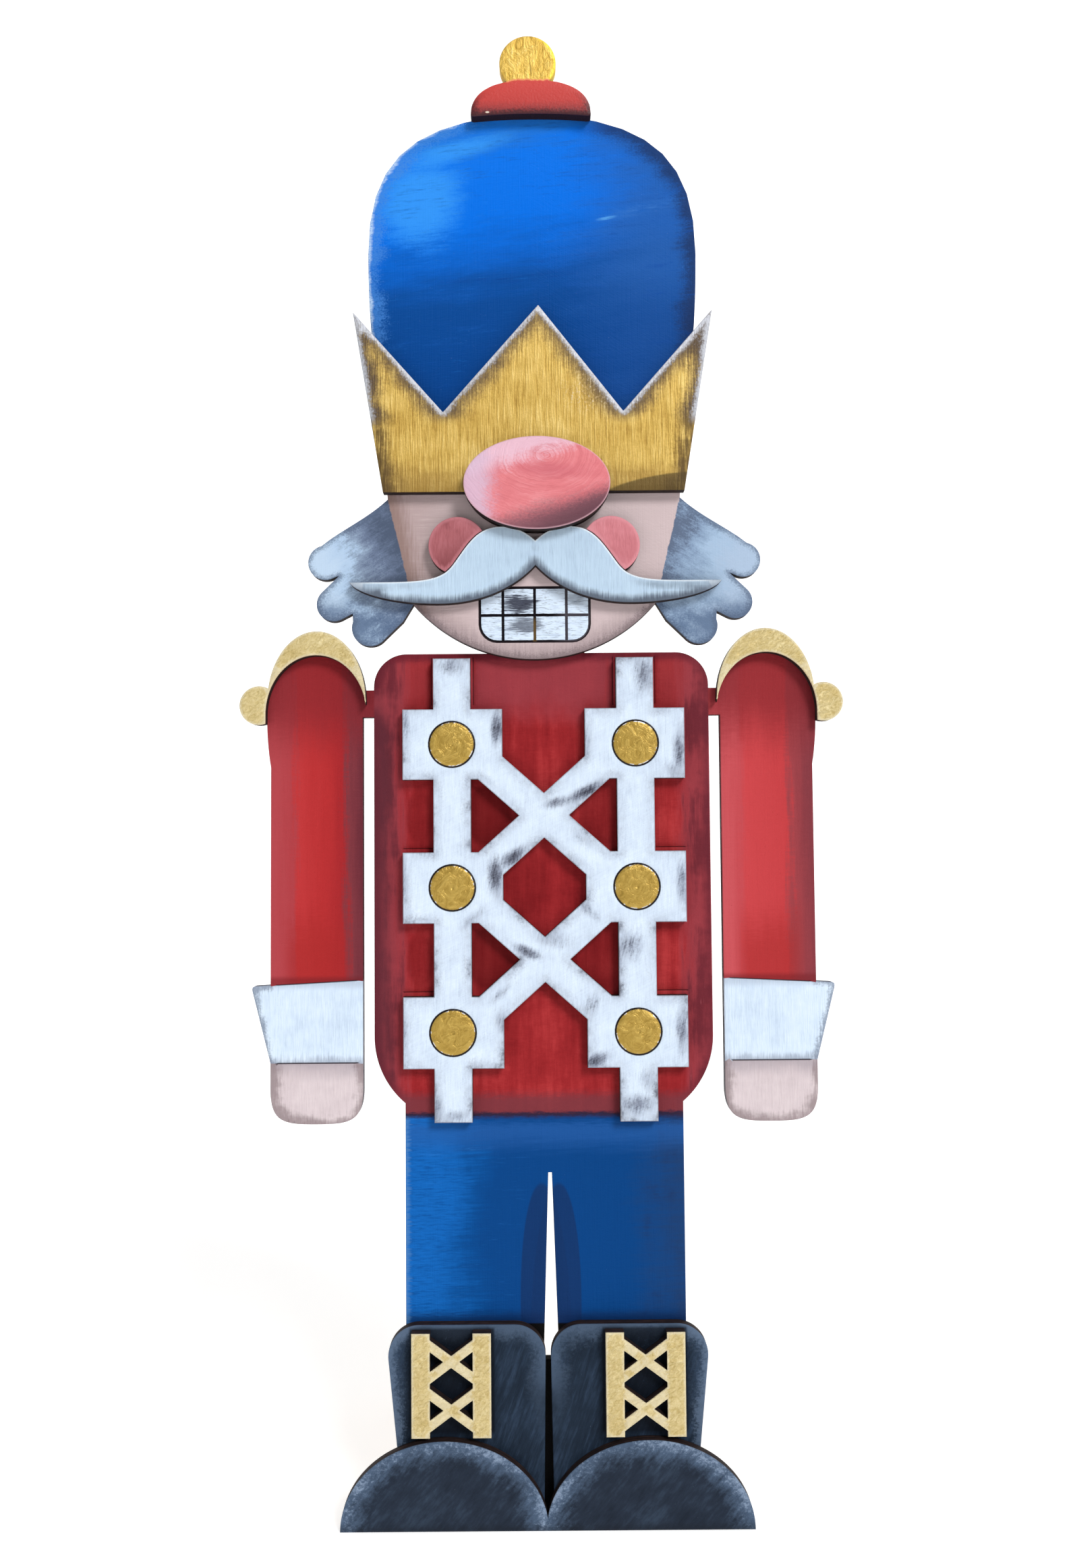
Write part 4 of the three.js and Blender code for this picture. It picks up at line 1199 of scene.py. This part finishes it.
# Dark smudges on the straps: x, z, half length, half width, angle, strength.
SMUDGES = [
    (-23, 397, 14, 5.5, 88, 1.0), (22, 364, 19, 5.5, 27, 1.0), (8, 359, 14, 5, 14, 0.8),
    (-15, 331, 15, 6.5, 34, 1.0), (-24, 322, 7, 17, 0, 1.0), (-8, 283, 12, 5, -24, 1.0),
    (5, 290, 18, 9, -10, 0.5), (44, 286, 13, 14, 0, 0.62), (38, 281, 3, 15, 0, 0.8),
    (26, 228, 12, 6.5, 24, 1.0), (47, 206, 14, 9, 6, 0.8), (52, 218, 7, 12, 0, 0.5),
    (70, 384, 5, 19, 0, 0.8), (67, 376, 9, 7, 0, 0.5), (71, 318, 5, 20, 0, 0.7),
    (70, 243, 6, 20, 0, 0.7), (-70, 400, 5, 16, 0, 0.6), (-71, 318, 4, 18, 0, 0.5),
    (-71, 243, 4, 18, 0, 0.45), (-46, 429, 13, 8, 0, 0.6), (52, 424, 8, 16, 0, 0.75),
    (-36, 300, 16, 4.5, 42, 0.5), (-54, 205, 6, 13, 0, 0.55), (-44, 201, 13, 5, 0, 0.55),
    (22, 305, 16, 5, -42, 0.55), (-21, 248, 8, 12, 0, 0.5), (24, 256, 8, 12, -30, 0.5),
    (-34, 337, 14, 5, 0, 0.45), (-22, 262, 14, 4, 42, 0.5), (22, 390, 5, 14, 0, 0.5),
    (20, 340, 14, 5, -42, 0.4),
]


def strap_paint():
    p = Paint("strap_paint")
    grain = p.noise(0.8, 8)
    scratch = p.noise(9, 0.5, angle=26, rough=0.7)
    streak = p.noise(1.0, 6, angle=-12, detail=5, rough=0.72)
    fuzz = p.noise(1.3, 1.3, rough=0.78)
    cloud = p.noise(17, 14)
    p.colour = p.ramp(grain * 0.4 + cloud * 0.5 + scratch * 0.25, [
        (-1.2, (178, 192, 212)), (-0.2, (208, 222, 239)), (0.3, (216, 230, 245)), (1.2, (232, 242, 252)),
    ])
    blotch = p.step(cloud + streak * 0.3, 0.1, 1.0)
    rim = p.step(p.edge + fuzz * 1.8 + streak * 1.4, 6.5, 0.2)
    p.coat((150, 158, 176), rim * p.step(cloud + streak * 0.3, -0.8, 0.6) * 0.65)
    p.coat((66, 64, 76), p.step(p.edge + fuzz * 1.5, 3.4, 0.2) * blotch * 0.85)
    dark = p.fold("MAXIMUM", [p.spot(*place, 1) * strength for *place, strength in SMUDGES])
    haze = p.step(dark + streak * 0.2 + fuzz * 0.12, 0.02, 0.8)
    p.coat((138, 146, 166), haze * 0.75)
    solid = p.step(dark + streak * 0.3 + fuzz * 0.14 + scratch * 0.2, 0.35, 1.25)
    p.coat((44, 42, 56), solid * 0.95)
    p.coat((128, 120, 126), p.step(p.edge, 0.7, 0.2) * 0.5)
    groove = p.step(p.groove, 0.3, 0.8)
    p.coat((24, 16, 18), groove * p.step(fuzz, 1.6, 0.6))
    return p.close(grain * 0.05 + scratch * 0.05 + fuzz * 0.03)


def button_paint():
    p = Paint("button_paint")
    near = p.fold("MINIMUM", [p.reach(x, z) for x, z in button_places()])
    swirl = p.noise(7, 6, detail=3, warp=1.8)
    fine = p.noise(1.5, 1.1, rough=0.7)
    rings = p.noise(1.0, 60, detail=2, source=p.joined(near, p.y, p.z * 0.3))
    p.colour = p.ramp(swirl * 0.6 + fine * 0.15 + rings * 0.25, [
        (-1.2, (140, 110, 36)), (-0.2, (174, 142, 62)), (0.5, (194, 162, 80)), (1.2, (236, 210, 140)),
    ])
    crescent = p.step(near, BUTTON["radius"] - 1.1, BUTTON["radius"] - 0.7) * p.step(swirl, 0.1, 0.4)
    p.coat((236, 238, 244), crescent)
    p.coat((24, 16, 18), p.step(p.groove, 0.02, 0.5))
    relief = swirl * 0.2 + rings * 0.05 + fine * 0.03 - p.step(near, 1.2, 0.3) * 0.35
    return p.close(relief, roughness=0.36, metallic=0.4, shine=0.35)


def button_swell(x, z):
    """Thick paint on the buttons."""
    height = np.zeros(len(x))
    for bx, bz in button_places():
        away = np.hypot(x - bx, z - bz)
        t = np.clip((BUTTON["radius"] - GROOVE_WIDE / 2 - away) / BUTTON["slope"], 0, 1)
        height += BUTTON["proud"] * t * t * (3 - 2 * t)
    return height


def build_lattice():
    grooves = [ring(x, z, BUTTON["radius"]) for x, z in button_places()]
    extra = button_places()
    for radius in BUTTON["rings"]:
        for x, z in button_places():
            extra += ring(x, z, radius, closed=False).tolist()

    def on_button(x, z):
        return np.min([np.hypot(x - bx, z - bz) for bx, bz in button_places()], axis=0) < BUTTON["radius"]

    plate("lattice", strap_paint(), None, [(button_paint(), on_button)], grooves,
          button_swell, extra)


# ---- epaulettes, boots and laces

BOOT = {"middle": 0.9, "x": 48.2, "top": 96.0}  # x of the pair's middle, and of a boot from there
TOE = {"x": 50.9, "half": 51.5, "high": 43.3}


def leaf_gold():
    """Crinkled metallic gold with cream edges."""
    p = Paint("leaf_gold")
    crinkle = p.noise(3.6, 1.9, angle=35, detail=5, rough=0.75, warp=1.3)
    fine = p.noise(0.9, 0.9, detail=3)
    cloud = p.noise(14, 10, detail=3)
    p.colour = p.ramp(crinkle * 0.7 + fine * 0.25 + cloud * 0.2, [
        (-1.2, (150, 124, 62)), (-0.4, (198, 174, 112)), (0.2, (220, 200, 144)), (1.2, (246, 232, 186)),
    ])
    p.coat((236, 226, 196), p.step(p.edge + fine * 0.6, 1.4, 0.3) * 0.6)
    return p.close(crinkle * 0.16 + fine * 0.05, roughness=0.42, metallic=0.35, shine=0.35)


def boot_paint():
    p = Paint("boot_paint")
    strokes = p.noise(14, 1.6, angle=70, detail=5, rough=0.7)
    fuzz = p.noise(1.4, 1.1, rough=0.75)
    cloud = p.noise(18, 22)
    p.colour = p.tones(cloud * 0.6 + strokes * 0.7, (17, 25, 37), (31, 43, 58), (52, 68, 90))
    across = abs(p.x - BOOT["middle"])
    dust = p.step(p.edge + fuzz * 3 + cloud * 4 + strokes * 2, 10, 0) * p.step(p.z + cloud * 8, 40, 84)
    p.coat((84, 102, 126), dust * 0.65)
    left = p.step(p.edge + fuzz * 3 + cloud * 2, 6, 0.4) * p.step(across, 60, 72)
    p.coat((98, 116, 140), left * 0.6)
    # Painted shade on the boot between the raised bars of the lace.
    lace_shade = p.step(abs(across - BOOT["x"]), 22, 20.5) * p.step(p.z, 43, 46)
    lace_shade = lace_shade * p.step(p.z, BOOT["top"] + 1, BOOT["top"] - 1)
    p.coat((12, 16, 24), lace_shade * p.step(fuzz, 1.6, 0.2) * 0.8)
    scratch = p.noise(0.6, 7, angle=-24, rough=0.7) + strokes * 0.4
    p.coat((92, 110, 136), p.step(scratch, 0.7, 1.6) * p.step(p.z, 30, 90) * 0.6)
    p.coat((128, 146, 170), p.specks(0.5, 2.2, 1.15, 1.4) * 0.5)
    p.coat((170, 184, 204), p.specks(0.7, 0.7, 1.3, 1.45) * 0.6)
    return p.close(strokes * 0.06 + fuzz * 0.04)


def toe_paint():
    p = Paint("toe_paint")
    fuzz = p.noise(1.6, 1.2, rough=0.75)
    strokes = p.noise(9, 2.4, angle=50, detail=5, rough=0.7)
    cloud = p.noise(20, 16)
    p.colour = p.tones(cloud * 0.5 + strokes * 0.6, (24, 31, 42), (37, 46, 60), (56, 70, 88))
    toes = [p.reach(side * TOE["x"], 0, TOE["half"], TOE["high"]) for side in (-1, 1)]
    reach = p.fold("MINIMUM", toes)
    band = p.step(reach + fuzz * 0.05 + cloud * 0.07 + strokes * 0.07, 0.72, 0.98)
    p.coat((84, 103, 128), band * 0.75)
    chalk = p.step(reach + fuzz * 0.05 + strokes * 0.05, 0.88, 0.99) * p.step(fuzz + cloud, -0.5, 1.0)
    p.coat((152, 170, 194), chalk * 0.65)
    p.coat((150, 166, 188), p.specks(0.5, 1.6, 1.1, 1.35) * 0.55)
    p.coat((190, 202, 218), p.specks(0.6, 0.6, 1.25, 1.4) * 0.6)
    p.coat((26, 30, 38), p.step(p.z + fuzz, 5, 0.5) * 0.5)
    return p.close(strokes * 0.06 + fuzz * 0.05)


def build_small_boards():
    boot, toe, gold = boot_paint(), toe_paint(), leaf_gold()
    for side in ("left", "right"):
        plate(f"epaulette_{side}", gold)
        plate(f"boot_{side}", boot)
        plate(f"lace_{side}", gold)
    plate("toe_caps", toe)


# ---- stand

LEG_LEAN = math.radians(18)
ROUNDING = {"planed": 0.8, "pressed": 0.12, "turned": 0.08}
FLAT_ANGLE = math.radians(1)  # faces that meet at less than this are joined
BEVEL_ANGLE = math.radians(30)  # edges sharper than this are rounded
SAME_PLACE = 1e-6  # metres, as in the mesh


def pine(name, lean):
    """Planed pine whose grain runs along a piece that leans by an angle."""
    p = Paint(name)
    up, out = p.z * math.cos(lean) - p.y * math.sin(lean), p.y * math.cos(lean) + p.z * math.sin(lean)
    along = p.joined(p.x, out, up)
    rings = p.noise(9, 260, detail=2, rough=0.4, warp=0.5, source=along)
    bands = p.math("SINE", rings * 7)
    grain = p.noise(0.8, 40, deep=30, source=along)
    p.colour = p.tones(bands * 0.6 + grain * 0.4, (188, 140, 84), (214, 174, 118), (232, 200, 148))
    knot = p.spot(12, 205, 7, 11, 10, 0.6)
    p.coat((122, 74, 40), knot * 0.7)
    return p.close(grain * 0.04 + bands * 0.02, roughness=0.62, shine=0.3)


def zinc():
    p = Paint("zinc")
    spangle = p.noise(2.5, 2.5, deep=2.5, detail=3)
    scratch = p.noise(14, 0.4, deep=14, detail=3)
    p.colour = p.tones(spangle * 0.6 + scratch * 0.4, (150, 153, 158), (186, 189, 194), (214, 216, 220))
    rough = p.step(spangle + scratch, -1.6, 1.6) * 0.22 + 0.26
    return p.close(scratch * 0.01, roughness=rough, metallic=0.9, shine=0.5)


def rounded_copy(node, material, finish):
    """The CAD piece with its sharp edges rounded as its finish has them."""
    mesh = frame["nodes"][node].data.copy()
    mesh.materials.clear()
    mesh.materials.append(material)
    shape = bmesh.new()
    shape.from_mesh(mesh)
    bmesh.ops.remove_doubles(shape, verts=shape.verts, dist=SAME_PLACE)
    bmesh.ops.dissolve_limit(shape, angle_limit=FLAT_ANGLE, verts=shape.verts, edges=shape.edges)
    sharp = [edge for edge in shape.edges if edge.is_manifold and edge.calc_face_angle(0) > BEVEL_ANGLE]
    bmesh.ops.bevel(shape, geom=sharp, offset=ROUNDING[finish] * MM, segments=ROUND_RINGS, profile=0.5,
                    affect="EDGES", clamp_overlap=True)
    bmesh.ops.triangulate(shape, faces=[face for face in shape.faces if len(face.verts) > 4])
    shape.to_mesh(mesh)
    shape.free()
    mesh.polygons.foreach_set("material_index", [0] * len(mesh.polygons))
    return finish_mesh(mesh, f"{node}_{finish}", node)


def build_stand():
    metal = zinc()
    rounded_copy("spine", pine("pine_upright", 0), "planed")
    rounded_copy("stand_leg", pine("pine_leaning", LEG_LEAN), "planed")
    for node in ("hinge_leaf_fixed", "hinge_leaf_moving"):
        rounded_copy(node, metal, "pressed")
    names = ["hinge_pin"]
    names += [f"{kind}_screw_{i}" for kind in ("hinge", "spine") for i in range(1, 5)]
    for node in names:
        rounded_copy(node, metal, "turned")


add_camera()
add_floor()
add_light()
build_head()
build_face_boards()
build_body()
build_lattice()
build_small_boards()
build_stand()
